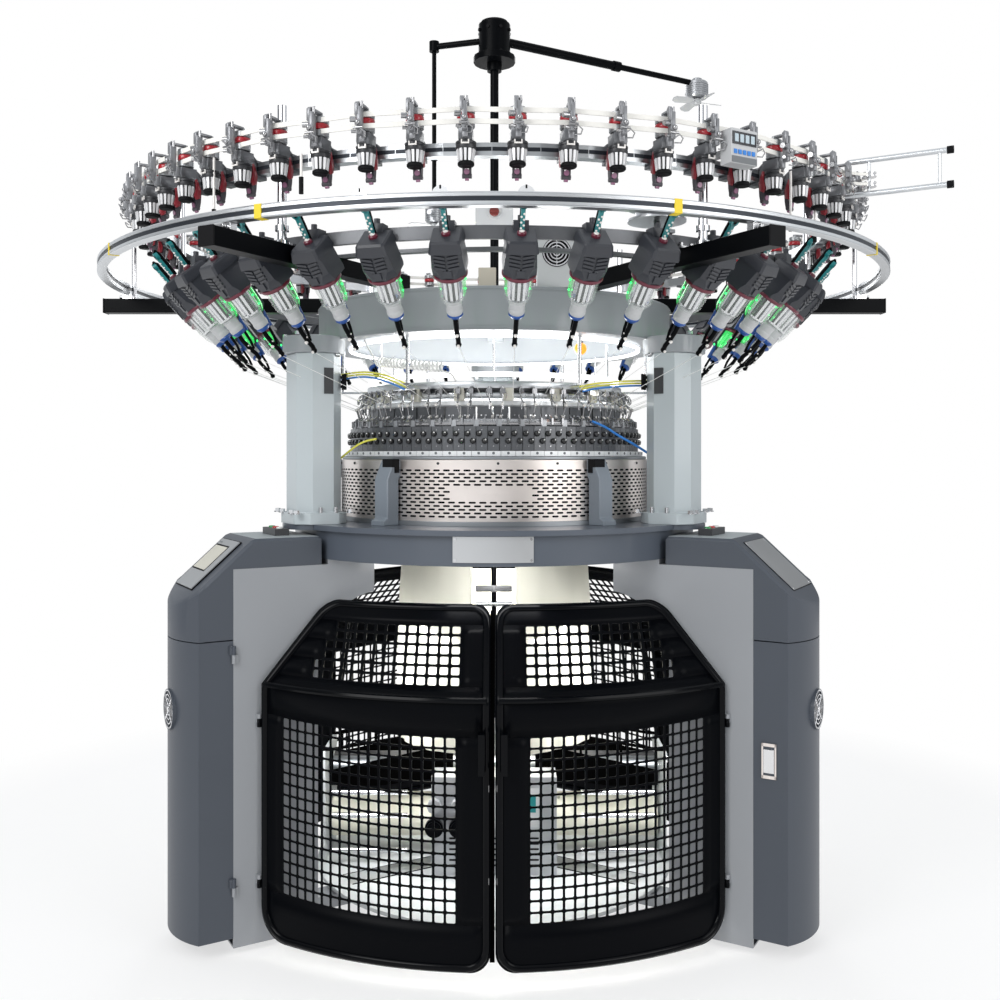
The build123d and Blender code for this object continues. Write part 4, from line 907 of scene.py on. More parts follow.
class KNIT_OT_head(bpy.types.Operator):
    """Build the knitting head: guard, cam segments, knobs, sinker ring and yarn guides"""

    bl_idname = "knit.head"
    bl_label = "Knitting head"

    def execute(self, context):
        settings = context.scene.knit_head
        reach, first, rise, rows = 541, 1300, 11.0, 14
        slots = settings.slots
        pitch = 360 / slots
        cell = dict(width=2 * pi * reach / slots, height=rise, slot_w=23, slot_h=6.0, reach=reach)
        bare = 4
        guard = Form()
        guard.hoop(reach - 1, reach, 1291, first, 120)
        top = first + rise * rows
        guard.turned(
            [(reach - 1, top), (reach, top), (reach, 1480), (reach - 2, 1482), (reach - 4, 1482)], 120
        )
        for row in range(5, 9):
            middle, z = pitch * (row % 2 - 1) / 2, first + row * rise
            curved_sheet(guard, reach, middle - bare * pitch, middle + bare * pitch, z, z + rise)
        guard.piece("guard_bands", ["steel"], stands=["head_guard"], slot="steel")
        for part, low_row, high_row, skipped in (
            ("low", 0, 5, 0), ("middle", 5, 9, 2 * bare), ("high", 9, 14, 0)
        ):
            start = bare * pitch if skipped else 0
            odd = pitch * 0.5 * (low_row % 2)
            form = slotted_cell(low=first + low_row * rise, **cell)
            flip = -0.5 if low_row % 2 else 0.5
            around(
                f"guard_mesh_{part}", form, "steel", slots - skipped, start + odd, pitch,
                rows=high_row - low_row, rise=rise, stagger=flip, thickness=1.5,
            )
        # Black sheet just inside the guard, seen through its slots: painted shade behind the perforations.
        inner = Form()
        inner.hoop(536, 537, 1284, 1470, 96)
        inner.piece("guard_lining", ["matte_black"])
        base = Form()
        base.turned([(543, 1276.5), (546, 1276.5), (546, 1290), (543, 1291)], 120)
        base.piece("guard_base", ["band_steel"])
        screw = Form()
        screw.rod((0, -541, 1470), (0, -543.5, 1470), 4.2, 12)
        around("guard_screws", screw, "collar_dark", 18, 1.5)

        plate = Form()
        half = degrees(pi / 72) * 0.97
        plate.wedge(452, 525, (-half, 0, half), 1493, 1508.5)
        around("plate_segments", plate, "pale_ring", 72, stands=["cam_plate"], slot="steel")
        mark = Form()
        mark.rod((0, -524.5, 1502), (0, -526, 1502), 4.2, 16)
        around("plate_marks", mark, "plastic_grey", 72)
        rim = Form()
        rim.turned([(450, 1481), (534, 1481), (538, 1484), (538, 1490), (534, 1493), (450, 1493)], 144)
        rim.piece("plate_rim", ["band_steel"])

        count = settings.segments
        half = 180 / count * 0.95
        segment = Form()
        segment.wedge(462, 510, (-half, half), 1509.3, 1586)
        around("cam_segments", segment, "segment_grey", count, stands=["cam_boxes"], slot="dark_steel")
        core = Form()
        core.hoop(462, 506, 1509, 1585, 96)
        core.piece("cam_core", ["matte_black"])
        # The small white ball at each knob's upper right is a painted highlight.
        knob, glint = Form(), Form()
        for x, z in ((-9, 1563), (9, 1540)):
            dome = Matrix.Translation((x, -509, z)) @ Matrix.Rotation(pi / 2, 4, "X")
            knob.turned([(9.2, 0), (9.6, 4), (8.6, 8), (5.6, 10.8), (0.01, 11.5)], 14, dome, closed=False)
            glint.ball((x + 3.4, -518.4, z + 3.8), 2.9, 8, 5)
        around("cam_knobs", knob, "knob_black", count)
        around("cam_glints", glint, "button_white", count)
        sockets = Form()
        for z in (1575, 1524):
            sockets.rod((0, -509, z), (0, -511, z), 2.2, 10)
        around("cam_sockets", sockets, "dull_steel", count)

        sinker = Form()
        sinker.turned([(404, 1587), (498, 1587), (500, 1590), (500, 1600), (492, 1609), (404, 1609)], 120)
        sinker.piece("sinker_ring", ["guide_steel"], stands=["sinker_caps"], slot="dark_steel")
        lip = Form()
        lip.box((-8, -503, 1584), (8, -498, 1606))
        around("sinker_tabs", lip, "cast_light", count // 2, 2)
        boxes = 54
        half = 180 / boxes * 0.9
        upper = Form()
        upper.wedge(412, 448, (-half, half), 1609.3, 1650)
        around("upper_boxes", upper, "segment_grey", boxes, 3)
        stud = Form()
        for x in (-10, 4):
            stud.rod((x, -448, 1622), (x, -451, 1622), 2.6, 10)
        around("upper_screws", stud, "bright_steel", boxes, 3)
        dial = Form()
        dial.turned([(404, 1650), (440, 1650), (444, 1655), (444, 1668), (404, 1668)], 96)
        dial.piece("dial_ring", ["pale_ring"])

        rods, eyes, wires = Form(), Form(), Form()
        for aside, lean in ((-2.6, 5), (2.6, -4)):
            for form in (rods, eyes, wires):
                form.place = turn(aside)
            rods.rod((0, -470, 1640), (0, -462, 1712), 2.6, 8)
            rods.box((-8, -470, 1690), (8, -456, 1706))
            rods.rod((0, -468, 1672), (lean, -490, 1655), 2.2, 8)
            rods.rod((lean, -490, 1655), (lean * 2, -478, 1616), 1.9, 6)
            rods.rod((lean * 2, -478, 1616), (lean * 2, -500, 1600), 1.6, 6)
            eyes.rod((lean, -487, 1655), (lean, -494, 1654), 4.6, 12)
            eyes.rod((lean * 2, -474, 1620), (lean * 2, -482, 1614), 4.2, 12)
            wires.pipe(
                [(-4, -466, 1708), (-9, -480, 1700), (-11, -486, 1690), (-6, -487, 1680), (0, -480, 1676)],
                1.2, 5
            )
            wires.pipe([(6, -464, 1696), (11, -476, 1690), (9, -486, 1674)], 1.2, 5)
        around("yarn_guides", rods, "guide_steel", 29, 1)
        around("guide_eyes", eyes, "ceramic", 29, 1)
        around("guide_wires", wires, "guide_steel", 29, 1)
        hooks = Form()
        hooks.box((-3, -506, 1592), (3, -496, 1612))
        hooks.rod((0, -500, 1610), (0, -488, 1622), 1.8, 6)
        around("sinker_hooks", hooks, "guide_steel", count, 1)
        blocks = Form()
        blocks.box((-16, -456, 1668), (16, -440, 1708))
        around("guide_blocks", blocks, "beige_light", 18, 6)
        pipe = Form()
        pipe.pipe([at(3 * k, 424, 1690) for k in range(120)], 15, 14, closed=True)
        pipe.piece("guide_tube", ["aluminium"])
        band = Form()
        band.turned([(436, 1708), (450, 1708), (451, 1710), (451, 1728), (450, 1730), (436, 1730)], 120)
        band.kind = 1
        band.hoop(434, 448, 1700, 1708, 120)
        band.piece("guide_band", ["aluminium", "collar_dark"], stands=["guide_ring"], slot="steel")
        hangers = Form()
        hangers.box((-12, -546, 1716), (12, -448, 1722))
        hangers.rod((0, -540, 1722), (0, -540, 1871), 6, 12)
        around("guide_hangers", hangers, "bright_steel", 6, 30)
        needles = Form()
        needles.box((-0.6, -407, 1586), (0.6, -404, 1606))
        around("needle_hooks", needles, "chrome", 360)
        return {"FINISHED"}


# Doors


def bowed(x, z, inward=0.0):
    """Point of the bowed door's outer face at a side distance and height."""
    low = ARC_MIDDLE - sqrt(ARC**2 - x * x)
    high = UPPER_MIDDLE - sqrt(UPPER_ARC**2 - x * x)
    share = max(0.0, (z - DOOR_FOLD) / (DOOR_TOP - DOOR_FOLD))
    climb = 15.5 * (x / 627) ** 2 * max(0.0, min(1.0, (z - DOOR_LOW) / 133, (DOOR_FOLD - z) / 103))
    return Vector((x, low + (high - low) * share + inward, z + climb))


ARC, ARC_MIDDLE, UPPER_ARC, UPPER_MIDDLE = 1195, 373, 1132, 518
DOOR_LOW, DOOR_FOLD, DOOR_TOP, DOOR_SIDE, DOOR_TOP_SIDE = 40, 805, 1047, 700, 519
TUBE_DEPTH = 12
LOW_CORNER, INNER_CORNER, TOP_CORNER = 80, 58, 42


def corner_cut(radius, depth):
    """How far a rounded corner draws the edge in at a depth below the corner's end."""
    if depth >= radius:
        return 0.0
    return radius - sqrt(max(0.0, radius**2 - (radius - depth) ** 2))


def outer_edge(z):
    share = max(0.0, (z - DOOR_FOLD) / (DOOR_TOP - DOOR_FOLD))
    straight = DOOR_SIDE - share * (DOOR_SIDE - DOOR_TOP_SIDE)
    return straight - corner_cut(LOW_CORNER, z - DOOR_LOW) - corner_cut(TOP_CORNER, DOOR_TOP - z)


def inner_edge(z, gap):
    if gap == 0:
        return 0.0
    return gap + corner_cut(INNER_CORNER, z - DOOR_LOW) + corner_cut(TOP_CORNER, DOOR_TOP - z)


LOWER_GRILLE = dict(rows=16, columns=18, pitch=31.0, rise=33.0, across=102.1, up=173.5)
UPPER_GRILLE = dict(rows=6, columns=15, pitch=33.2, rise=25.8, across=92.0, up=836.0)
SLANT_FROM, SLANT = 572, 0.68


def grille_end(grille, row, slanted):
    """Side distance at which a row's last hole ends."""
    columns = grille["columns"]
    if slanted:
        limit = SLANT_FROM - SLANT * row * grille["rise"]
        kept = int((limit - grille["across"] - grille["pitch"] / 2) / grille["pitch"]) + 1
        columns = max(0, min(columns, kept))
    return ARC * sin((grille["across"] + columns * grille["pitch"]) / ARC)


def door_skin(form, side, gap):
    """Sheet of one door half round its two grilles, in bands of height."""
    levels = {DOOR_LOW, DOOR_FOLD, DOOR_TOP}
    levels |= {DOOR_LOW + LOW_CORNER * (1 - cos(radians(9 * k))) for k in range(11)}
    levels |= {DOOR_TOP - TOP_CORNER * (1 - cos(radians(15 * k))) for k in range(7)}
    spans = []
    for grille, slanted in ((LOWER_GRILLE, False), (UPPER_GRILLE, True)):
        for row in range(grille["rows"]):
            low = grille["up"] + row * grille["rise"]
            first = ARC * sin(grille["across"] / ARC)
            spans.append((low, low + grille["rise"], first, grille_end(grille, row, slanted)))
            levels |= {low, low + grille["rise"]}
    levels = sorted(levels)
    for low, high in zip(levels, levels[1:]):
        if high - low < 0.01:
            continue
        middle = (low + high) / 2
        hole = next(((first, end) for a, b, first, end in spans if a <= middle <= b), None)
        a0, a1 = inner_edge(low, gap), inner_edge(high, gap)
        b0, b1 = outer_edge(low), outer_edge(high)
        if hole is None:
            strips = [(a0, a1, b0, b1, 14)]
        else:
            first, end = hole
            strips = [(a0, a1, first, first, 3), (end, end, b0, b1, 3)]
        for p0, p1, q0, q1, steps in strips:
            rows = [
                [bowed(side * (p + (q - p) * k / steps), z, 10) for k in range(steps + 1)]
                for p, q, z in ((p0, q0, low), (p1, q1, high))
            ]
            form.skin(rows, flip=side < 0)


def door_outline(side, gap, inset):
    """Points of the tube frame's path, a little inside the sheet's edge."""
    top, low = DOOR_TOP - inset, DOOR_LOW + inset
    low_round, top_round = LOW_CORNER - inset, TOP_CORNER - inset
    turns = [1 - cos(radians(15 * k)) for k in range(7)]
    straight = [low + (top - low) * k / 40 for k in range(41)]
    rise = {z for z in straight if low + low_round < z < top - top_round} | {DOOR_FOLD}
    rise = sorted(rise | {low + low_round * t for t in turns} | {top - top_round * t for t in turns})

    def level(z):
        """Height on the sheet that stands for a height on the tube."""
        return max(DOOR_LOW, min(DOOR_TOP, DOOR_LOW + (z - low) * (DOOR_TOP - DOOR_LOW) / (top - low)))

    path = [bowed(side * (outer_edge(level(z)) - inset), z, TUBE_DEPTH) for z in rise]
    inner_top = inner_edge(DOOR_TOP, gap) + inset if gap else 0
    outer_top = abs(path[-1].x)
    path += [
        bowed(side * (outer_top + (inner_top - outer_top) * k / 14), top, TUBE_DEPTH) for k in range(1, 14)
    ]
    if gap:
        path += [bowed(side * (inner_edge(level(z), gap) + inset), z, TUBE_DEPTH) for z in reversed(rise)]
    else:
        path += [bowed(0, top, TUBE_DEPTH), bowed(0, low, TUBE_DEPTH)]
    first, last = abs(path[-1].x), abs(path[0].x)
    return path + [bowed(side * (first + (last - first) * k / 16), low, TUBE_DEPTH) for k in range(1, 16)]


def square_cell(pitch, rise, hole):
    """Flat cell of the grille with a round-cornered square hole, drawn from its lower left corner."""
    r = 4.0
    wide, tall = hole / 2 - r, rise / 2 - 2.9 - r
    w, v = pitch / 2, rise / 2
    inner, outer = [], []
    for sx, sz, start in ((1, 1, 0), (-1, 1, 90), (-1, -1, 180), (1, -1, 270)):
        corner = arc_points((sx * wide, sz * tall), r, start, start + 90, 2)
        inner += corner
        (x0, z0), _, (x1, z1) = corner
        first, last = ((sx * w, z0), (x1, sz * v)) if sx == sz else ((x0, sz * v), (sx * w, z1))
        outer += [first, (sx * w, sz * v), last]
    n = len(inner)
    points = [(x + w, 10, z + v) for x, z in inner + outer]
    return Form().put(points, [(i, n + i, n + (i + 1) % n, (i + 1) % n) for i in range(n)])


class DoorSettings(bpy.types.PropertyGroup):
    hole: bpy.props.FloatProperty(
        name="Hole", description="Width of the grille's square holes", default=0.0245, unit="LENGTH"
    )
    sheet: bpy.props.FloatProperty(
        name="Sheet", description="Thickness of the door's sheet", default=0.003, unit="LENGTH"
    )


def door_half(name, side, gap, body, stands, settings, angle=0):
    """Sheet, grilles and tube frame of one half of a bowed door or guard."""
    place = turn(angle)
    skin = Form(place)
    door_skin(skin, side, gap)
    obj = linked(f"{name}_skin", skin.mesh(f"{name}_skin", ["gloss_black"], 40))
    thicken(obj, settings.sheet / MM, join=0.3)
    seat(obj, body, stands)
    for label, grille, slanted in (("low", LOWER_GRILLE, False), ("high", UPPER_GRILLE, True)):
        cell = square_cell(grille["pitch"], grille["rise"], settings.hole / MM)
        mesh = repeat(
            "bowed",
            f"{name}_grille_{label}",
            cell.pattern(name + "_cell", "gloss_black"),
            "gloss_black",
            "machine",
            Columns=grille["columns"],
            Rows=grille["rows"],
            Pitch=grille["pitch"] * MM,
            Rise=grille["rise"] * MM,
            First_across=grille["across"] * MM,
            First_up=grille["up"] * MM,
            Slant_from=((SLANT_FROM - grille["pitch"] / 2) if slanted else 9000) * MM,
            Slant=SLANT if slanted else 0.0,
            Bulge=0.0 if slanted else 0.047,
            thickness=settings.sheet / MM,
        )
        if side < 0:
            mesh.data.transform(Matrix.Scale(-1, 4, (1, 0, 0)))
            mesh.data.flip_normals()
        mesh.data.transform(place)
        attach(mesh, body)
    tube = Form(place)
    tube.pipe(door_outline(side, gap, 12), 12, 10, closed=True)
    low = outer_edge(DOOR_FOLD) - 12
    near = (gap + 12) if gap else 0
    tube.pipe([bowed(side * (near + (low - near) * k / 14), DOOR_FOLD, 6) for k in range(15)], 9, 8)
    tube.piece(f"{name}_tube", ["tube_black"], body)


class KNIT_OT_doors(bpy.types.Operator):
    """Build the bowed doors and the rear guards with their grilles and tube frames"""

    bl_idname = "knit.doors"
    bl_label = "Doors and guards"

    def execute(self, context):
        settings = context.scene.knit_doors
        door_half("door_left", -1, 7, "door_left", ["door_left"], settings)
        door_half("door_right", 1, 7, "door_right", ["door_right"], settings)
        for number, angle in enumerate((120, -120)):
            for side, label in ((-1, "a"), (1, "b")):
                door_half(f"guard_{number}{label}", side, 0, ROOT, ["side_guards"], settings, angle)
        for side, body in ((-1, "door_left"), (1, "door_right")):
            bits = Form()
            for z in (203, 688):
                bits.rod((side * 707, -590.4, z - 13), (side * 707, -590.4, z + 13), 6.6, 16)
            for z in (640, 690):
                point = bowed(side * 32, z, -0.5)
                bits.rod(point, point + Vector((0, -3, 0)), 3.5, 12)
            bits.kind = 1
            for z in (300, 560):
                point = bowed(side * 14, z, 8)
                bits.box(point + Vector((-3, -5, -9)), point + Vector((3, 2, 9)))
            bits.piece(f"door_fittings_{body[5:]}", ["black_paint", "dull_steel"], body)
        # Black strip behind the meeting edges of the two doors: painted shade in the gap between them.
        strip = Form()
        section = ((-9, 10), (5, 10), (5, 14), (-9, 14))
        strip.skin([[bowed(x, z, depth) for x, depth in section] for z in range(70, 1031, 30)], closed=True)
        strip.piece("door_lip", ["wing_black_and_shade"], "door_left")
        return {"FINISHED"}


# Take-down and cloth


class KNIT_OT_takedown(bpy.types.Operator):
    """Build the rollers, cloth, spreader and case details under the bed"""

    bl_idname = "knit.takedown"
    bl_label = "Take-down and cloth"

    def execute(self, context):
        for body, y, z, radius, paint in (
            ("draw_roller_front", -45, 400, 32, "band_steel"),
            ("draw_roller_back", 22, 400, 32, "rubber"),
            ("cloth_roll", 0, 215, 75, "cloth"),
        ):
            roller = Form(Matrix.Translation((0, y, z)) @ Matrix.Rotation(pi / 2, 4, "Y"))
            roller.round(radius, -575, 575, 36, edge=2)
            roller.kind = 1
            roller.round(12, -597, 597, 20)
            roller.round(min(radius * 0.6, 40), -581, 581, 24, edge=1)
            roller.piece(f"{body}_drum", [paint, "bright_steel"], body, [body])
        table = Form()
        table.round(624, 76, 88, 72)
        for angle in LEGS.values():
            table.place = turn(angle)
            table.kind = 1
            table.box((-42, -560, 88), (42, -120, 89.5))
            # Thin black strips along both sides of each arm: painted shadow lines under the arm's edges.
            table.kind = 2
            table.box((-45, -560, 88), (-42, -120, 90.5))
            table.box((42, -560, 88), (45, -120, 90.5))
        table.piece(
            "turntable", ["chamber_pale", "aluminium", "wing_black_and_shade"], ROTOR, ["takedown_frame"], "frame_black"
        )
        sides = Form()
        for side in (-1, 1):
            x0, x1 = sorted((side * 584, side * 596))
            sides.box((x0, -130, 88), (x1, 130, 470))
        sides.piece("takedown_sides", ["chamber_pale"], ROTOR, bevel=1)
        wings = Form()

        def slab(side, outline, near, far):
            """Upright slab across the machine between two depths."""
            n = len(outline)
            sides = [(k, (k + 1) % n, n + (k + 1) % n, n + k) for k in range(n)]
            ends = [tuple(range(n)), tuple(range(2 * n - 1, n - 1, -1))]
            wings.put([(side * x, y, z) for y in (near, far) for x, z in outline], ends + sides)

        bar = ((142, 550), (568, 476), (596, 476), (596, 470), (568, 470), (142, 544))
        skirt = ((568, 404), (568, 352), (400, 350), (142, 384), (142, 496))
        for side in (-1, 1):
            for near in (-120, 100):
                slab(side, bar, near, near + 20)
            for y in (-120, 116):
                slab(side, skirt, y, y + 4)
                for x, low_z, high_z in ((148, 490, 544), (300, 440, 517), (440, 410, 493), (562, 400, 474)):
                    wings.rod((side * x, y + 2, low_z), (side * x, y + 2, high_z), 4, 8)
        wings.piece("takedown_wings", ["wing_black_and_shade"], ROTOR)
        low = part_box("cloth_tube")[0].z / MM
        cloth = Form()
        edge, steps = degrees(asin(75 / 355)), 150
        rows = []
        for z, reach in (
            (low, 355), (650, 354), (760, 352), (900, 349), (1020, 344),
            (1120, 338), (1180, 338), (1300, 346), (1430, 350), (1560, 352),
        ):
            open_part = edge if z <= 1180 else 0.4
            ease = min(1.0, max(0.1, (1200 - z) / 500))
            turns = [open_part + (360 - 2 * open_part) * k / steps for k in range(steps + 1)]
            folds = [
                4 * sin(radians(a * 18)) + 3 * sin(radians(a * 31 + z * 0.35)) + 2 * sin(radians(a * 7 + 40))
                for a in turns
            ]
            rows.append([at(a, reach - 6 + fold * ease, z) for a, fold in zip(turns, folds)])
        cloth.skin(rows)
        obj = linked("cloth_sleeve", cloth.mesh("cloth_sleeve", ["cloth"], 60))
        thicken(obj, 2, offset=-1.0)
        seat(obj, ROTOR, ["cloth_tube"])
        spreader = Form()
        spreader.rod((0, -330, 640), (0, -330, 1150), 9, 16)
        spreader.rod((-120, -300, 1130), (120, -300, 1130), 8, 12)
        spreader.kind = 1
        spreader.rod((-90, -322, 900), (90, -322, 900), 7, 12)
        spreader.rod((-100, -322, 960), (100, -322, 940), 7, 12)
        spreader.box((-60, -340, 1050), (60, -318, 1072))
        spreader.rod((-60, -330, 1010), (60, -330, 1010), 10, 16)
        spreader.piece("spreader", ["black_paint", "bright_steel"], ROTOR)
        case = Form()
        for x in (-200, -120):
            case.rod((x, -249, 252), (x, -266, 252), 31, 28)
            case.rod((x, -266, 252), (x, -271, 252), 24, 28)
        case.kind = 1
        case.box((-60, -246.5, 250), (150, -244.8, 380))
        case.kind = 2
        case.box((60, -247.5, 300), (140, -246.4, 360))
        case.kind = 3
        for k in range(6):
            case.box((-150, -246.5, 120 + 18 * k), (150, -245, 126 + 18 * k))
        case.piece("case_details", ["gloss_black", "plastic_light", "teal", "matte_black"], ROTOR)
        trims = Form()
        for side in (-1, 1):
            for z in (130, 250, 330):
                trims.rod((side * 560, -128, z), (side * 300, -128, z), 9, 12)
            trims.rod((side * 597, -95, 440), (side * 604, -95, 440), 16, 20)
            trims.rod((side * 597, 80, 300), (side * 606, 80, 300), 22, 20)
        trims.piece("takedown_bars", ["bright_steel"], ROTOR)
        return {"FINISHED"}


# Creel rings and posts


BELT_LEVELS = (2296, 2325)


class KNIT_OT_creel(bpy.types.Operator):
    """Build the guard rail, posts, beam, belts and rail fittings of the creel"""

    bl_idname = "knit.creel"
    bl_label = "Creel"

    def execute(self, context):
        rail = Form()
        rail.turned(
            [
                (1301, 2076.5), (1329, 2076.5), (1329, 2084), (1326, 2084), (1326, 2096), (1329, 2096),
                (1329, 2103.5), (1301, 2103.5), (1301, 2096), (1304, 2096), (1304, 2084), (1301, 2084),
            ],
            160,
        )
        rail.kind = 1
        for low, high in ((2073.5, 2076.6), (2103.4, 2106.5)):
            rail.turned(
                [(1302, low), (1328, low), (1329.6, (low + high) / 2), (1328, high), (1302, high)], 160
            )
        rail.piece(
            "rail_profile", ["rail_side", "aluminium"], stands=["guard_rail"], slot="aluminium", angle=30
        )
        # Dark bands on the floors of the rail's grooves: painted shade inside the grooves.
        slot = Form()
        slot.hoop(1325.5, 1327, 2084.5, 2095.5, 160)
        slot.hoop(1303.5, 1305, 2084.5, 2095.5, 160)
        slot.piece("rail_slot", ["groove_shade"])
        tape = Form()
        for angle, wide in ((-25.9, 0.9), (19.2, 0.9), (-56.7, 0.4), (56.1, 0.4)):
            for k in range(2):
                ends = (angle + wide / 2 * k, angle + wide / 2 * (k + 1))
                tape.put(
                    [at(a, r, z) for a in ends for r in (1300, 1330) for z in (2072.7, 2107.3)], BOX_SIDES
                )
        tape.piece("rail_tape", ["tape_yellow"])
        discs = Form()
        for angle in (-13.7, -5.2, 3.55):
            discs.stub(angle, 1318, 1312, 2104, 20, 32)
            discs.kind = 1
            discs.place = turn(angle)
            discs.box((-2, -1319, 2116), (2, -1311, 2124.5))
            discs.place = Matrix.Identity(4)
            discs.kind = 0
        discs.piece("rail_discs", ["pale_ring", "matte_black"])
        posts = Form()
        reach = 1118.2
        for angle in ARMS:
            posts.post(angle, reach, 2054, 2423, 13, 28)
            posts.post(angle, reach, 2054, 2064, 20, 24)
            posts.post(angle, reach, 2090, 2104, 19, 24)
        for angle in (-90, 90):
            posts.post(angle, 1290, 2054, 2239, 8, 20)
        posts.piece("creel_posts", ["chrome"], stands=["ring_posts"], slot="chrome")
        blocks = Form()
        for angle in ARMS:
            blocks.place = turn(angle)
            blocks.box((-17, -1327, 2054), (17, -1303, 2073))
            blocks.rod((0, -1330, 2062), (0, -1341, 2062), 7, 6)
        blocks.piece("rail_blocks", ["bright_steel"], bevel=1)
        beam = Form()
        # Flat dark band round the beam's outer face: painted shade standing in for its groove.
        groove = Form()
        bars, inner, outer = 60, 1130, 1160
        share = 1 / cos(radians(180 / bars))
        for k in range(bars):
            ends = (6 * k, 6 * k + 6)
            points = [at(a, r * share, z) for a in ends for r in (inner, outer) for z in (2237, 2269)]
            beam.put(points, BOX_SIDES[2:])
            ends = (6 * k + 0.05, 6 * k + 5.95)
            groove.put([at(a, (outer + 0.6) * share, z) for a in ends for z in (2248, 2258)], [(0, 2, 3, 1)])
        beam.piece("creel_beam", ["aluminium"])
        groove.piece("beam_slot", ["groove_shade"])
        belts = Form()
        for level in BELT_LEVELS:
            belts.hoop(1225, 1228, level, level + 12, 30, turn(-81))
        belts.piece("yarn_belts", ["belt_white"], stands=["drive_belts"], slot="belt_white", angle=20)
        caps = Form()
        for angle in ARMS:
            caps.place = turn(angle)
            caps.box((-26, -1394, 2003), (26, -1388, 2055))
        caps.piece("arm_caps", ["matte_black"], bevel=2)
        clips = Form()
        for angle in ARMS:
            clips.place = turn(angle)
            clips.box((-30, -1064, 2054), (30, -1040, 2060))
            for x in (20, -20):
                clips.rod((x, -1052, 2060), (x, -1052, 2070), 7, 6)
        clips.piece("ring_clips", ["bright_steel"])
        return {"FINISHED"}


# Positive feeders


class FeederSettings(bpy.types.PropertyGroup):
    positive: bpy.props.IntProperty(
        name="Positive feeders", description="Feeders on the upper beam", default=60, min=12
    )
    storage: bpy.props.IntProperty(
        name="Storage feeders", description="Feeders on the support ring", default=36, min=12
    )


FEEDER_START, STORAGE_START = 3, 3.9
UPRIGHT = Matrix(((0, 0, 1), (1, 0, 0), (0, 1, 0))).to_4x4()


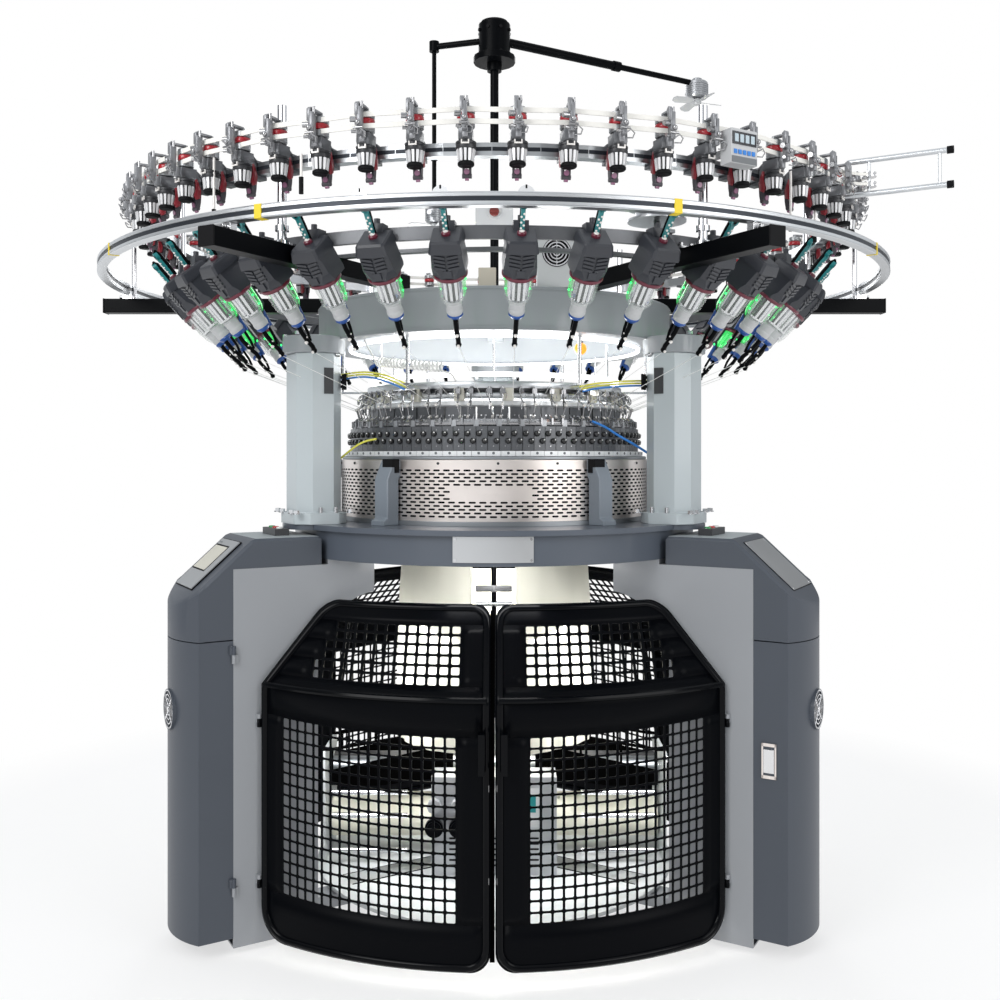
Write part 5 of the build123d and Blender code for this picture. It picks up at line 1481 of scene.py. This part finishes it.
class KNIT_OT_feeders(bpy.types.Operator):
    """Build the positive feeders on the beam"""

    bl_idname = "knit.feeders"
    bl_label = "Positive feeders"

    def execute(self, context):
        axis = Matrix.Translation((0, -1203, 0))
        ring = dict(count=context.scene.knit_feeders.positive, start=FEEDER_START)
        body = Form()
        outline = [
            (-1161, 2232), (-1161, 2276), (-1178, 2288), (-1214, 2288), (-1226, 2280), (-1222, 2262),
            (-1180, 2256), (-1176, 2232)
        ]
        body.prism(outline, -11, 11, UPRIGHT)
        body.prism(
            [(-1180, 2258), (-1222, 2258), (-1227, 2266), (-1225, 2288), (-1178, 2288)], -17, 17, UPRIGHT
        )
        body.box((-14, -1166, 2228), (14, -1128, 2237))
        body.box((-14, -1166, 2268), (14, -1140, 2275))
        around(
            "feeder_bodies", body, "cast_dark", **ring, stands=["positive_feeders"], slot="plastic_grey",
            bevel=1.2
        )
        mount = Form()
        mount.box((-7, -1236, 2262), (7, -1216, 2288))
        mount.box((-6, -1252, 2276), (6, -1234, 2344))
        mount.rod((0, -1247, 2302), (0, -1257, 2302), 9, 16)
        around("feeder_mounts", mount, "mid_grey", **ring, bevel=1.2)
        pulley = Form(axis)
        pulley.round(22, 2291, 2308, 24, edge=2)
        pulley.round(22, 2325, 2341, 24, edge=2)
        pulley.round(6, 2255, 2352, 12)
        around("feeder_pulleys", pulley, "ring_dull", **ring)
        collar = Form(axis)
        collar.turned(
            [
                (8, 2238), (24, 2238), (25, 2240), (25, 2247), (23.5, 2248), (23.5, 2250), (25.5, 2251),
                (25.5, 2256), (24, 2257.5), (8, 2257.5)
            ], 28
        )
        around("feeder_collars", collar, "collar_dark", **ring)
        clip = Form()
        clip.box((-10, -1231, 2247), (10, -1227, 2250.5))
        clip.box((-10, -1231, 2250), (-7, -1227, 2257))
        clip.box((7, -1231, 2250), (10, -1227, 2257))
        around("feeder_clips", clip, "ceramic", **ring)
        wheel = Form(axis)
        wheel.turned([(8, 2309.5), (21, 2309.5), (22.6, 2312), (22.6, 2321), (21, 2323.5), (8, 2323.5)], 28)
        around("feeder_wheels", wheel, "red_plastic", **ring)
        cage = Form(axis)
        for k in range(12):
            turned = Matrix.Rotation(2 * pi * k / 12, 4, "Z")
            bar = (
                ((15, -2.6, 2209), (20, -2.4, 2209), (20, 2.4, 2209), (15, 2.6, 2209)),
                ((18, -3.4, 2238), (23.6, -3.2, 2238), (23.6, 3.2, 2238), (18, 3.4, 2238)),
            )
            cage.skin([[turned @ Vector(p) for p in row] for row in bar], closed=True)
        around("feeder_cages", cage, "cage_steel", **ring)
        core = Form(axis)
        core.round(16.5, 2204, 2240, 20)
        core.round(20.5, 2198, 2209, 28, edge=3)
        around("feeder_cores", core, "matte_black", **ring)
        plate = Form()
        outline = [
            (-1166, 2232), (-1178, 2262), (-1186, 2258), (-1182, 2236), (-1188, 2214), (-1180, 2204),
            (-1168, 2210)
        ]
        plate.prism(outline, 12, 18, UPRIGHT)
        plate.prism(outline, -18, -12, UPRIGHT)
        around("feeder_plates", plate, "wine_red", **ring, bevel=0.8)
        arm = Form()
        outline = [(-1161, 2232), (-1174, 2232), (-1181, 2206), (-1177, 2184), (-1167, 2178), (-1163, 2200)]
        arm.prism(outline, -11, -5, UPRIGHT)
        arm.prism(outline, 5, 11, UPRIGHT)
        arm.rod((-12, -1172, 2183), (12, -1172, 2183), 6, 12)
        around("feeder_arms", arm, "arm_dark", **ring)
        eye = Form()
        eye.rod((0, -1181, 2192), (0, -1171, 2194), 7, 14)
        eye.rod((-5, -1170, 2176), (5, -1170, 2176), 4, 10)
        around("feeder_eyes", eye, "pink_ceramic", **ring)
        screw = Form()
        screw.rod((-9, -1244, 2314), (-24, -1248, 2314), 7, 16)
        screw.rod((-9, -1246, 2284), (-20, -1250, 2284), 4.5, 12)
        screw.pipe(
            [(6, -1246, 2268), (18, -1256, 2266), (21, -1262, 2276), (10, -1265, 2284), (2, -1256, 2278)],
            1.8, 6
        )
        screw.rod((4, -1242, 2340), (4, -1242, 2358), 4, 10)
        screw.ball((0, -1259, 2302), 6.5, 12, 8)
        screw.rod((-12, -1257, 2290), (12, -1257, 2290), 3, 10)
        around("feeder_screws", screw, "dull_steel", **ring)
        tongue = Form()
        tongue.prism(
            [(-1252, 2322), (-1244, 2322), (-1236, 2352), (-1244, 2358), (-1252, 2352)], -11, -1, UPRIGHT
        )
        tongue.box((-7, -1240, 2346), (9, -1206, 2352))
        around("feeder_tongues", tongue, "mid_grey", **ring, bevel=1)
        return {"FINISHED"}


# Storage feeders


def storage_place():
    """Frame of a storage feeder: Z down its axis, Y away from the machine, X across."""
    top, tip = Vector((0, -1095, 2045)), Vector((0, -870, 1790))
    axis = (tip - top).normalized()
    across = Vector((1, 0, 0))
    outward = axis.cross(across)
    axes = Matrix((across, outward, axis)).transposed().to_4x4()
    return Matrix.Translation(top) @ axes


class KNIT_OT_storage(bpy.types.Operator):
    """Build the storage feeders on the support ring"""

    bl_idname = "knit.storage"
    bl_label = "Storage feeders"

    def execute(self, context):
        place = storage_place()
        ring = dict(count=context.scene.knit_feeders.storage, start=STORAGE_START)

        def section(z, half, back, front, cut):
            """Outline of the housing across its axis, its front corners cut off."""
            corners = ((half, back), (half, front - cut), (half - cut, front))
            return [
                (-half, back, z), *[(x, y, z) for x, y in corners], (cut - half, front, z),
                (-half, front - cut, z)
            ]

        housing = Form(place)
        stations = [
            (-13, 36, -36, 37, 5), (-8, 39, -40, 43, 6), (15, 43, -42, 49, 6), (19, 43, -42, 49, 6),
            (19.5, 39, -40, 42, 9), (68, 43, -42, 42, 14), (86, 44, -44, 42, 24), (96, 43, -43, 41, 24),
        ]
        housing.skin([section(*station) for station in stations], closed=True, flip=True)
        for k in range(4):
            z = 24 + 11 * k
            for side in (-1, 1):
                rib = ((3, z + 4), (32, z - 2), (32, z + 4), (3, z + 11))
                housing.skin([[(side * x, y, up) for x, up in rib] for y in (40, 46)], closed=True, flip=True)
        housing.box((-11, 38, 68), (11, 46, 88))
        housing.box((-20, -46, 10), (20, -38, 70))
        spine = [(-30, 90), (-48, 90), (-46, 172), (-22, 196), (-14, 190), (-39, 166)]
        housing.prism(spine, -9, 9, UPRIGHT)
        around(
            "storage_housings", housing, "feeder_grey", angle=16, **ring, stands=["storage_feeders"],
            slot="plastic_grey"
        )
        clamp = Form()
        clamp.box((-20, -1088, 2040), (20, -1052, 2094))
        clamp.box((-14, -1082, 2020), (14, -1056, 2044))
        clamp.rod((0, -1078, 2094), (0, -1078, 2108), 8, 16)
        around("storage_clamps", clamp, "feeder_grey", **ring)
        collar = Form(place)
        collar.turned([(30, 95), (44.5, 95), (46, 97.5), (46, 102), (44, 105), (30, 105)], 36)
        around("storage_collars", collar, "maroon", **ring)
        drum = Form(place)
        for k in range(12):
            turned = Matrix.Rotation(2 * pi * k / 12, 4, "Z")
            bar = (
                (22, -4.5, 104), (30, -4.5, 104), (30, 4.5, 104), (22, 4.5, 104), (22, -3.6, 172),
                (28, -3.6, 172), (28, 3.6, 172), (22, 3.6, 172)
            )
            drum.put(
                [turned @ Vector(p) for p in bar], [(0, 1, 5, 4), (1, 2, 6, 5), (2, 3, 7, 6), (4, 5, 6, 7)]
            )
        drum.turned([(18, 169), (29, 169), (27, 175), (18, 177)], 28)
        around("storage_drums", drum, "chrome", **ring)
        core = Form(place)
        core.round(21, 102, 171, 24)
        around("storage_cores", core, "matte_black", **ring)
        glass = Form(place)
        glass.turned([(37, 105), (39, 107), (37, 166), (29, 183), (27, 183), (35, 165), (37, 108)], 28)
        around("storage_glasses", glass, "clear_plastic", **ring)
        light = Form(place)
        turns = [radians(-62 + 12.4 * k) for k in range(11)]
        rows = ((107, 40.5), (148, 39.5), (168, 37.5), (183, 30))
        light.skin([[(radius * sin(a), -radius * cos(a), z) for a in turns] for z, radius in rows])
        around("storage_lights", light, "green_clear", **ring)
        # Glowing green balls at the glass's sides and top: painted green highlights on the glass.
        spark = Form(place)
        for x in (-36, 36):
            spark.ball((x, -14, 126), 3.4, 8, 6)
            spark.ball((x * 0.9, -16, 158), 3.0, 8, 6)
        spark.ball((0, -36, 178), 6, 8, 6)
        around("storage_sparks", spark, "green_light", **ring)
        nose = Form(place)
        nose.turned(
            [(8, 178), (21, 178), (23, 182), (21, 206), (22.5, 208), (22.5, 217), (18.5, 227), (8, 227)], 28
        )
        around("storage_noses", nose, "plastic_light", **ring)
        band = Form(place)
        band.turned([(10, 224), (20, 223), (22, 228), (16, 236), (10, 236)], 28)
        band.rod((0, -30, 180), (0, -23, 238), 7, 10)
        around("storage_bands", band, "blue_plastic", **ring)
        arm = Form(place)
        arm.pipe([(0, 6, 230), (0, 8, 256), (0, 5, 290), (0, 0, 312), (0, 2, 324)], 7, 10)
        arm.pipe([(0, -16, 234), (0, -12, 270), (0, -4, 296)], 4.5, 8)
        arm.ball((0, 2, 326), 8.5, 12, 8)
        around("storage_arms", arm, "black_paint", **ring)
        tip = Form(place)
        tip.rod((0, 10, 290), (0, 15, 290), 5, 12)
        tip.rod((0, 8, 326), (0, 12, 326), 4.4, 12)
        tip.rod((-9, 6, 276), (9, 6, 276), 2.4, 8)
        around("storage_tips", tip, "ceramic", **ring)
        base = Form(place)
        base.turned([(7, -13), (12, -13), (12, -19), (9, -22), (7, -22)], 20)
        around("storage_bases", base, "maroon", **ring)
        stick = Form(place)
        stick.box((-5.5, -9, -92), (5.5, 3, -20))
        stick.rod((0, -9, -96), (0, 3, -96), 13, 20)
        around("storage_sticks", stick, "teal", **ring)
        back = Form(place)
        back.pipe([(0, -10, -18), (0, -12, -60), (0, -12, -100), (0, -4, -112)], 7.5, 10)
        back.rod((0, 3, -96), (0, 4.4, -96), 6, 14)
        back.rod((-8, -8, -110), (8, -8, -110), 5, 10)
        around("storage_stems", back, "black_paint", **ring)
        beads = Form(place)
        beads.ball((0, 0, -21), 7.5, 12, 8)
        for k in range(6):
            beads.ball((3.4 if k % 2 else -3.4, 3, -31 - 8 * k), 3.2, 8, 6)
        around("storage_beads", beads, "ceramic", **ring)
        return {"FINISHED"}


# Fans, tension arms, boxes and threads


class KNIT_OT_fans(bpy.types.Operator):
    """Build the mast, the fan arms and the two fans"""

    bl_idname = "knit.fans"
    bl_label = "Mast and fans"

    def execute(self, context):
        mast = Form()
        mast.rod((0, 0, 2004), (0, 0, 2899.5), 15, 28)
        mast.rod((0, 0, 2004), (0, 0, 2030), 44, 32)
        mast.rod((0, 0, 2870), (0, 0, 2899.5), 26, 28)
        mast.piece("mast_pole", ["black_paint"], stands=["mast"], slot="frame_black")
        head = "fan_mast_head"
        arms = Form()
        outer, inner = 118.8, -106.4
        reach, inner_reach, height = 923, 229, 2984
        arms.stub(outer, 50, 520, height, 16, 20)
        arms.stub(outer, 515, 545, height, 19, 20)
        arms.stub(outer, 540, reach - 30, height, 11, 20)
        arms.stub(inner, 50, inner_reach, height, 11, 20)
        arms.post(inner, inner_reach, height + 14, 2400, 8, 16)
        arms.post(inner, inner_reach, height - 18, height + 18, 18, 20)
        arms.post(inner, inner_reach, 2570, 2600, 12, 16)
        arms.piece("fan_tubes", ["black_paint"], head, ["fan_arms"], "light_grey")
        hub = Form()
        for k in range(8):
            a = 22.5 + 45 * k
            for z in (2926, 3012):
                hub.stub(a, 57, 61, z, 6, 12)
        hub.turned([(40, 3037), (50, 3037), (48, 3046), (40, 3046)], 32)
        hub.rod((0, 0, 3037), (0, 0, 3044), 40, 28)
        hub.piece("hub_details", ["matte_black"], head)
        motors = Form()
        for angle, far, top, radius, tall in (
            (outer, reach, height + 6, 42, 64), (inner, inner_reach, 2402, 30, 60)
        ):
            place = turn(angle) @ Matrix.Translation((0, -far, 0))
            motors.round(radius, top - tall, top, 32, place, 4)
            for k in range(6):
                z = top - tall + 8 + 8 * k
                motors.turned(
                    [(radius, z), (radius + 3, z + 1), (radius + 3, z + 4), (radius, z + 5)], 32, place
                )
            motors.round(radius * 0.5, top, top + 14, 24, place, 3)
            motors.rod(
                place @ Vector((radius, 0, top - 30)), place @ Vector((radius + 22, 0, top - 30)), 9, 14
            )
        motors.piece("fan_motors", ["cast_light"], head)
        for body, angle, far, top in (
            ("outer_fan", outer, reach, height - 60), ("inner_fan", inner, inner_reach, 2340)
        ):
            fan = Form()
            centre = at(angle, far, 0)
            place = Matrix.Translation((centre.x, centre.y, top))
            fan.round(17, -24, -0.6, 24, place, 3)
            length = 112 if body == "outer_fan" else 100
            for k in range(4):
                spin = place @ Matrix.Rotation(
                    radians(90 * k + 20), 4, "Z"
                ) @ Matrix.Rotation(radians(20), 4, "X")
                blade = [
                    (12, -8), (30, -14), (length - 22, -20), (length - 4, -12), (length, 4),
                    (length - 10, 16), (40, 18), (14, 10)
                ]
                fan.prism(blade, -14, -11.5, spin)
            fan.piece(f"{body}_blades", ["plastic_light"], body, [body], "plastic_grey")
        return {"FINISHED"}


def air_tube(name, route, radius, paint, steps=8):
    """Air tube of the head along a route, fixed to the machine's body."""
    curve = bpy.data.curves.new(name, "CURVE")
    curve.dimensions = "3D"
    curve.bevel_depth, curve.bevel_resolution = radius * MM, 2
    curve.resolution_u = steps
    curve.use_fill_caps = True
    line = curve.splines.new("NURBS")
    line.points.add(len(route) - 1)
    for point, spot in zip(line.points, route):
        point.co = (*(spot * MM), 1)
    line.order_u = 3
    line.use_endpoint_u = True
    curve.materials.append(LOOKS[paint])
    tube = linked(name, curve)
    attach(tube, ROOT)


class KNIT_OT_fittings(bpy.types.Operator):
    """Build the belt tension arms, quality wheel, counter, boxes and hoses"""

    bl_idname = "knit.fittings"
    bl_label = "Fittings"

    def execute(self, context):
        tubes = Form()
        arm = 61
        tubes.stub(arm, 1126, 1505, 2277, 8, 20)
        tubes.stub(arm, 1223, 1505, 2377, 8, 20)
        for reach in (1284, 1480):
            tubes.post(arm, reach, 2277, 2377, 5, 14)
        tubes.piece("tension_tubes", ["aluminium"], stands=["tension_arms"], slot="aluminium")
        ends = Form()
        ends.stub(arm, 1500, 1518, 2277, 11, 20)
        ends.stub(arm, 1500, 1518, 2377, 11, 20)
        ends.piece("tension_ends", ["matte_black"])
        for number, level in enumerate(BELT_LEVELS):
            pulley = Form(turn(arm) @ Matrix.Translation((0, -1284, 0)))
            pulley.turned(
                [
                    (5.4, level), (21, level), (21, level + 2.5), (17.5, level + 3), (17.5, level + 11),
                    (21, level + 11.5), (21, level + 14), (5.4, level + 14)
                ], 32
            )
            pulley.piece(
                f"tension_pulley_{number}", ["bright_steel"], "tension_pulleys", ["tension_pulleys"]
                if number == 0 else (), "steel"
            )
        loops = Form()
        for level in BELT_LEVELS:
            for aside in (-20, 20):
                loops.pipe(
                    [
                        at(arm, 1224, level + 6, aside * 4.2), at(arm, 1262, level + 6, aside * 1.6),
                        at(arm, 1284, level + 6, aside * 0.98)
                    ], 1.5, 6, flat=5
                )
        loops.piece("belt_loops", ["belt_white"])
        wheel = Form(turn(26.5) @ Matrix.Translation((0, -1003, 0)))
        wheel.turned(
            [
                (8.4, 2130), (80, 2130), (80, 2136), (62, 2138), (58, 2142), (58, 2160), (62, 2164),
                (80, 2166), (80, 2172), (8.4, 2172)
            ], 56
        )
        wheel.kind = 1
        wheel.round(15, 2172, 2190, 20, edge=3)
        wheel.piece(
            "quality_discs", ["aluminium", "matte_black"], "quality_wheel", ["quality_wheel"], "aluminium"
        )
        box = Form(wall_place(30, 1276, 2274))
        box.box((-40, 4, 0.2), (40, 36, 1.8))
        box.kind = 1
        for x in (-27, -9, 9, 27):
            box.box((x - 6, 10, 1.8), (x + 6, 30, 2.4))
        box.kind = 2
        for x in (-30, -15, 0, 15, 30):
            box.box((x - 5, -20, 0.2), (x + 5, -9, 2.2))
        box.kind = 3
        box.box((-42, -42, 0.2), (42, -26, 1.2))
        box.piece("counter_face", ["display_dark", "screen_lit", "cable_blue", "plastic_grey"])
        knob = Form(wall_place(0, 75.3, 2350))
        knob.round(26, 0, 4, 32, edge=1)
        knob.kind = 1
        knob.round(17, 4, 14, 28, edge=3)
        knob.box((-16, -4, 14), (16, 4, 19))
        knob.piece("junction_knob", ["plastic_light", "red_brown"], bevel=0.8)
        grille = Form(wall_place(0, 580.3, 2110, 192))
        for radius in (10, 20, 30, 40):
            grille.hoop(radius - 1.8, radius + 1.8, 0, 3)
        grille.rod((-42, 0, 2), (42, 0, 2), 2, 6)
        grille.rod((0, -42, 2), (0, 42, 2), 2, 6)
        grille.kind = 1
        grille.round(44, -2, 0.4, 40)
        grille.piece("power_grille", ["bright_steel", "matte_black"])
        small = Form()
        small.box((-46, -560, 2006), (8, -520, 2068))
        small.piece("terminal_box", ["beige"], bevel=2)
        route = [at(-50, 548, 1870), at(-49.6, 540, 1848), at(-49, 525, 1826)]
        for k in range(224):
            t, wind = k / 223, pi + k * 0.5142
            a = -48 + 30 * t
            route.append(at(a, 505, 1800 - 30 * t) + turn(a) @ Vector((0, 14 * cos(wind), 14 * sin(wind))))
        route += [at(-17.3, 486, 1756), at(-16.2, 468, 1750), at(-15.4, 448, 1732)]
        air_tube("air_hose", route, 3.2, "hose_white", 3)
        for number, (reach, paint) in enumerate(
            ((500, "cable_yellow"), (508, "cable_yellow"), (515, "cable_blue"))
        ):
            away = (590, 560, reach + 20, reach - 10, reach - 30)
            for label, side, heights in (
                ("left", -1, (1760, 1768, 1762, 1742, 1722)), ("right", 1, (1740, 1738, 1732, 1726, 1716))
            ):
                stations = zip((58, 52, 46, 40, 36), away, heights)
                route = [at(side * a, r, z - 8 * number) for a, r, z in stations]
                air_tube(f"air_tube_{label}_{number}", route, 3, paint)
        air_tube(
            "air_tube_blue",
            [at(58, 600, 1500), at(54, 570, 1530), at(48, 540, 1560), at(43, 522, 1590), at(38, 512, 1604)],
            4, "cable_blue"
        )
        air_tube(
            "air_tube_yellow",
            [at(-58, 600, 1480), at(-54, 570, 1520), at(-50, 540, 1545), at(-46, 528, 1548)], 3.4,
            "cable_yellow"
        )
        lamp = Form()
        lamp.ball(at(33.5, 500, 1835), 20, 16, 10)
        lamp.kind = 1
        lamp.post(33.5, 500, 1850, 1871, 9, 12)
        lamp.piece("warning_lamp", ["lamp_orange", "plastic_grey"])
        sticks = Form()
        for angle, reach, low_z, high_z in (
            (-38, 1210, 2110, 2290), (-23, 1225, 2150, 2250), (43, 1200, 2110, 2275), (52, 1180, 2110, 2240)
        ):
            sticks.kind = 0
            sticks.post(angle, reach, low_z + 40, high_z, 3.5, 10)
            sticks.kind = 1
            sticks.post(angle, reach, low_z, low_z + 42, 6, 10)
        sticks.piece("stop_sticks", ["ceramic", "matte_black"])
        return {"FINISHED"}


class KNIT_OT_yarns(bpy.types.Operator):
    """Lead the yarns from the storage feeders to the guides of the head"""

    bl_idname = "knit.yarns"
    bl_label = "Yarns"

    def execute(self, context):
        one = Form()
        one.rod(storage_place() @ Vector((0, 6, 328)), at(3, 494, 1652), 0.9, 4)
        around("yarns", one, "yarn", context.scene.knit_feeders.storage, STORAGE_START)
        return {"FINISHED"}


# Stage


FLOOR_HALF = 9000
CAMERA_PLACE = (0.020, -3.761, 1.490)
CAMERA_LENS, CAMERA_RISE = 37.8, -0.043


class StageSettings(bpy.types.PropertyGroup):
    key: bpy.props.FloatProperty(name="Key light", description="Power of the main light", default=95.0, min=0)
    room: bpy.props.FloatProperty(
        name="Room light", description="Strength of the surrounding light", default=1.0, min=0
    )
    backdrop: bpy.props.FloatVectorProperty(
        name="Backdrop", description="Colour behind the machine", subtype="COLOR", default=(1, 1, 1), min=0,
        max=1
    )


class KNIT_OT_stage(bpy.types.Operator):
    """Set up the floor, the lights, the backdrop and the camera"""

    bl_idname = "knit.stage"
    bl_label = "Stage"

    def execute(self, context):
        settings = context.scene.knit_stage
        scene = context.scene
        floor = Form()
        corners = ((-1, -1), (1, -1), (1, 1), (-1, 1))
        floor.put([(x * FLOOR_HALF, y * FLOOR_HALF, -1) for x, y in corners], [(0, 1, 2, 3)])
        material = bpy.data.materials.new("floor")
        material.use_nodes = True
        tree = material.node_tree
        shader = tree.nodes["Principled BSDF"]
        shader.inputs["Base Color"].default_value = (0.93, 0.93, 0.93, 1)
        shader.inputs["Roughness"].default_value = 0.65
        spot = tree.nodes.new("ShaderNodeSeparateXYZ")
        tree.links.new(node(tree, "ShaderNodeTexCoord", 3).socket, spot.inputs[0])
        x, y = Wire(tree, spot.outputs[0]), Wire(tree, spot.outputs[1])
        away = ((x * x + y * y).root() - 1.3) / 1.5
        white = node(tree, "ShaderNodeEmission", Color=(1, 1, 1, 1), Strength=1.0)
        faded = node(
            tree, "ShaderNodeMixShader", n0=away.math("MAXIMUM", 0.62).math("MINIMUM", 1.0),
            n1=Wire(tree, shader.outputs[0]), n2=white
        )
        tree.links.new(faded.socket, tree.nodes["Material Output"].inputs[0])
        LOOKS["floor"] = material
        linked("floor", floor.mesh("floor", ["floor"]))

        world = bpy.data.worlds.new("Room")
        scene.world = world
        world.use_nodes = True
        tree = world.node_tree
        tree.nodes.clear()
        seen = node(tree, "ShaderNodeBackground", Color=(*settings.backdrop, 1), Strength=1.0)
        way = tree.nodes.new("ShaderNodeSeparateXYZ")
        tree.links.new(node(tree, "ShaderNodeTexCoord", 0).socket, way.inputs[0])
        x, y, z = [Wire(tree, out) for out in way.outputs]
        bearing = y.math("ARCTAN2", x)
        boxes = (((bearing * 3 + 0.9).sine() - 0.1) * 5).math("MAXIMUM", 0.0).math("MINIMUM", 1.0)
        level = (1 - z.math("ABSOLUTE") * 1.4).math("MAXIMUM", 0.0)
        above = z.math("MAXIMUM", 0.0)
        room = (boxes * level * 0.75 + above * above * 0.9 + 0.2) * settings.room
        lit = node(tree, "ShaderNodeBackground", Color=(0.94, 0.97, 1.0, 1), Strength=room)
        mixed = node(tree, "ShaderNodeMixShader", n0=node(tree, "ShaderNodeLightPath"), n1=lit, n2=seen)
        out = tree.nodes.new("ShaderNodeOutputWorld")
        tree.links.new(mixed.socket, out.inputs[0])

        for name, place, aim, size, power in (
            ("Key", (-2.6, -3.6, 3.6), (0, 0, 1.4), 2.2, settings.key),
            ("Fill", (3.2, -3.2, 2.6), (0, 0, 1.3), 2.4, settings.key * 0.6),
            ("Back", (0.0, 3.6, 3.4), (0, 0, 1.6), 2.6, settings.key * 0.7),
            ("Chamber", (0.0, -0.1, 1.0), (0, 0.3, 0.2), 0.5, 17.0),
            ("Low left", (-0.5, -0.35, 0.7), (0, 0.2, 0.3), 0.3, 4.5),
            ("Low right", (0.5, -0.35, 0.7), (0, 0.2, 0.3), 0.3, 4.5),
            ("Window", (0.0, 0.1, 1.84), (0, -0.5, 1.5), 0.5, 3.0),
            ("Crown", (0.0, 0.0, 1.68), (0, 0.05, 3), 0.7, 12.0),
            ("Sleeve", (0.0, -0.55, 1.2), (0, -0.3, 1.0), 0.3, 3.0),
        ):
            data = bpy.data.lights.new(name, "AREA")
            data.energy, data.size = power, size
            lamp = linked(name, data)
            lamp.location = place
            lamp.rotation_euler = (Vector(aim) - Vector(place)).to_track_quat("-Z", "Y").to_euler()
            lamp.visible_camera = False

        data = bpy.data.cameras.new("Camera")
        data.lens, data.sensor_width, data.shift_y = CAMERA_LENS, 36, CAMERA_RISE
        data.clip_end = 100
        camera = linked("Camera", data)
        camera.location = CAMERA_PLACE
        camera.rotation_euler = (pi / 2, 0, 0)
        scene.camera = camera
        scene.view_settings.view_transform = "Standard"
        return {"FINISHED"}


class KNIT_PT_panel(bpy.types.Panel):
    """Sizes and steps of the knitting machine's looks"""

    bl_label = "Knitting machine"
    bl_idname = "KNIT_PT_panel"
    bl_space_type = "VIEW_3D"
    bl_region_type = "UI"
    bl_category = "Knitting"

    def draw(self, context):
        for group in ("knit_cad", "knit_head", "knit_doors", "knit_feeders", "knit_stage"):
            settings = getattr(context.scene, group)
            for name in settings.__annotations__:
                self.layout.prop(settings, name)
        for step in STEPS:
            self.layout.operator(step.bl_idname)


GROUPS = {
    "knit_cad": CadSettings,
    "knit_head": HeadSettings,
    "knit_doors": DoorSettings,
    "knit_feeders": FeederSettings,
    "knit_stage": StageSettings,
}
STEPS = (
    KNIT_OT_stage,
    KNIT_OT_solids,
    KNIT_OT_legs,
    KNIT_OT_structure,
    KNIT_OT_head,
    KNIT_OT_doors,
    KNIT_OT_takedown,
    KNIT_OT_creel,
    KNIT_OT_feeders,
    KNIT_OT_storage,
    KNIT_OT_fans,
    KNIT_OT_fittings,
    KNIT_OT_yarns,
)


def register():
    for item in (*GROUPS.values(), *STEPS, KNIT_PT_panel):
        bpy.utils.register_class(item)
    for name, group in GROUPS.items():
        setattr(bpy.types.Scene, name, bpy.props.PointerProperty(type=group))


def unregister():
    for name in GROUPS:
        delattr(bpy.types.Scene, name)
    for item in (KNIT_PT_panel, *reversed(STEPS), *reversed(GROUPS.values())):
        bpy.utils.unregister_class(item)


def main():
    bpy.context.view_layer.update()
    register()
    make_looks()
    TREES.update(ring=ring_tree(), bowed=bowed_tree())
    for step in STEPS:
        group, name = step.bl_idname.split(".")
        getattr(getattr(bpy.ops, group), name)()


if __name__ == "__main__":
    main()
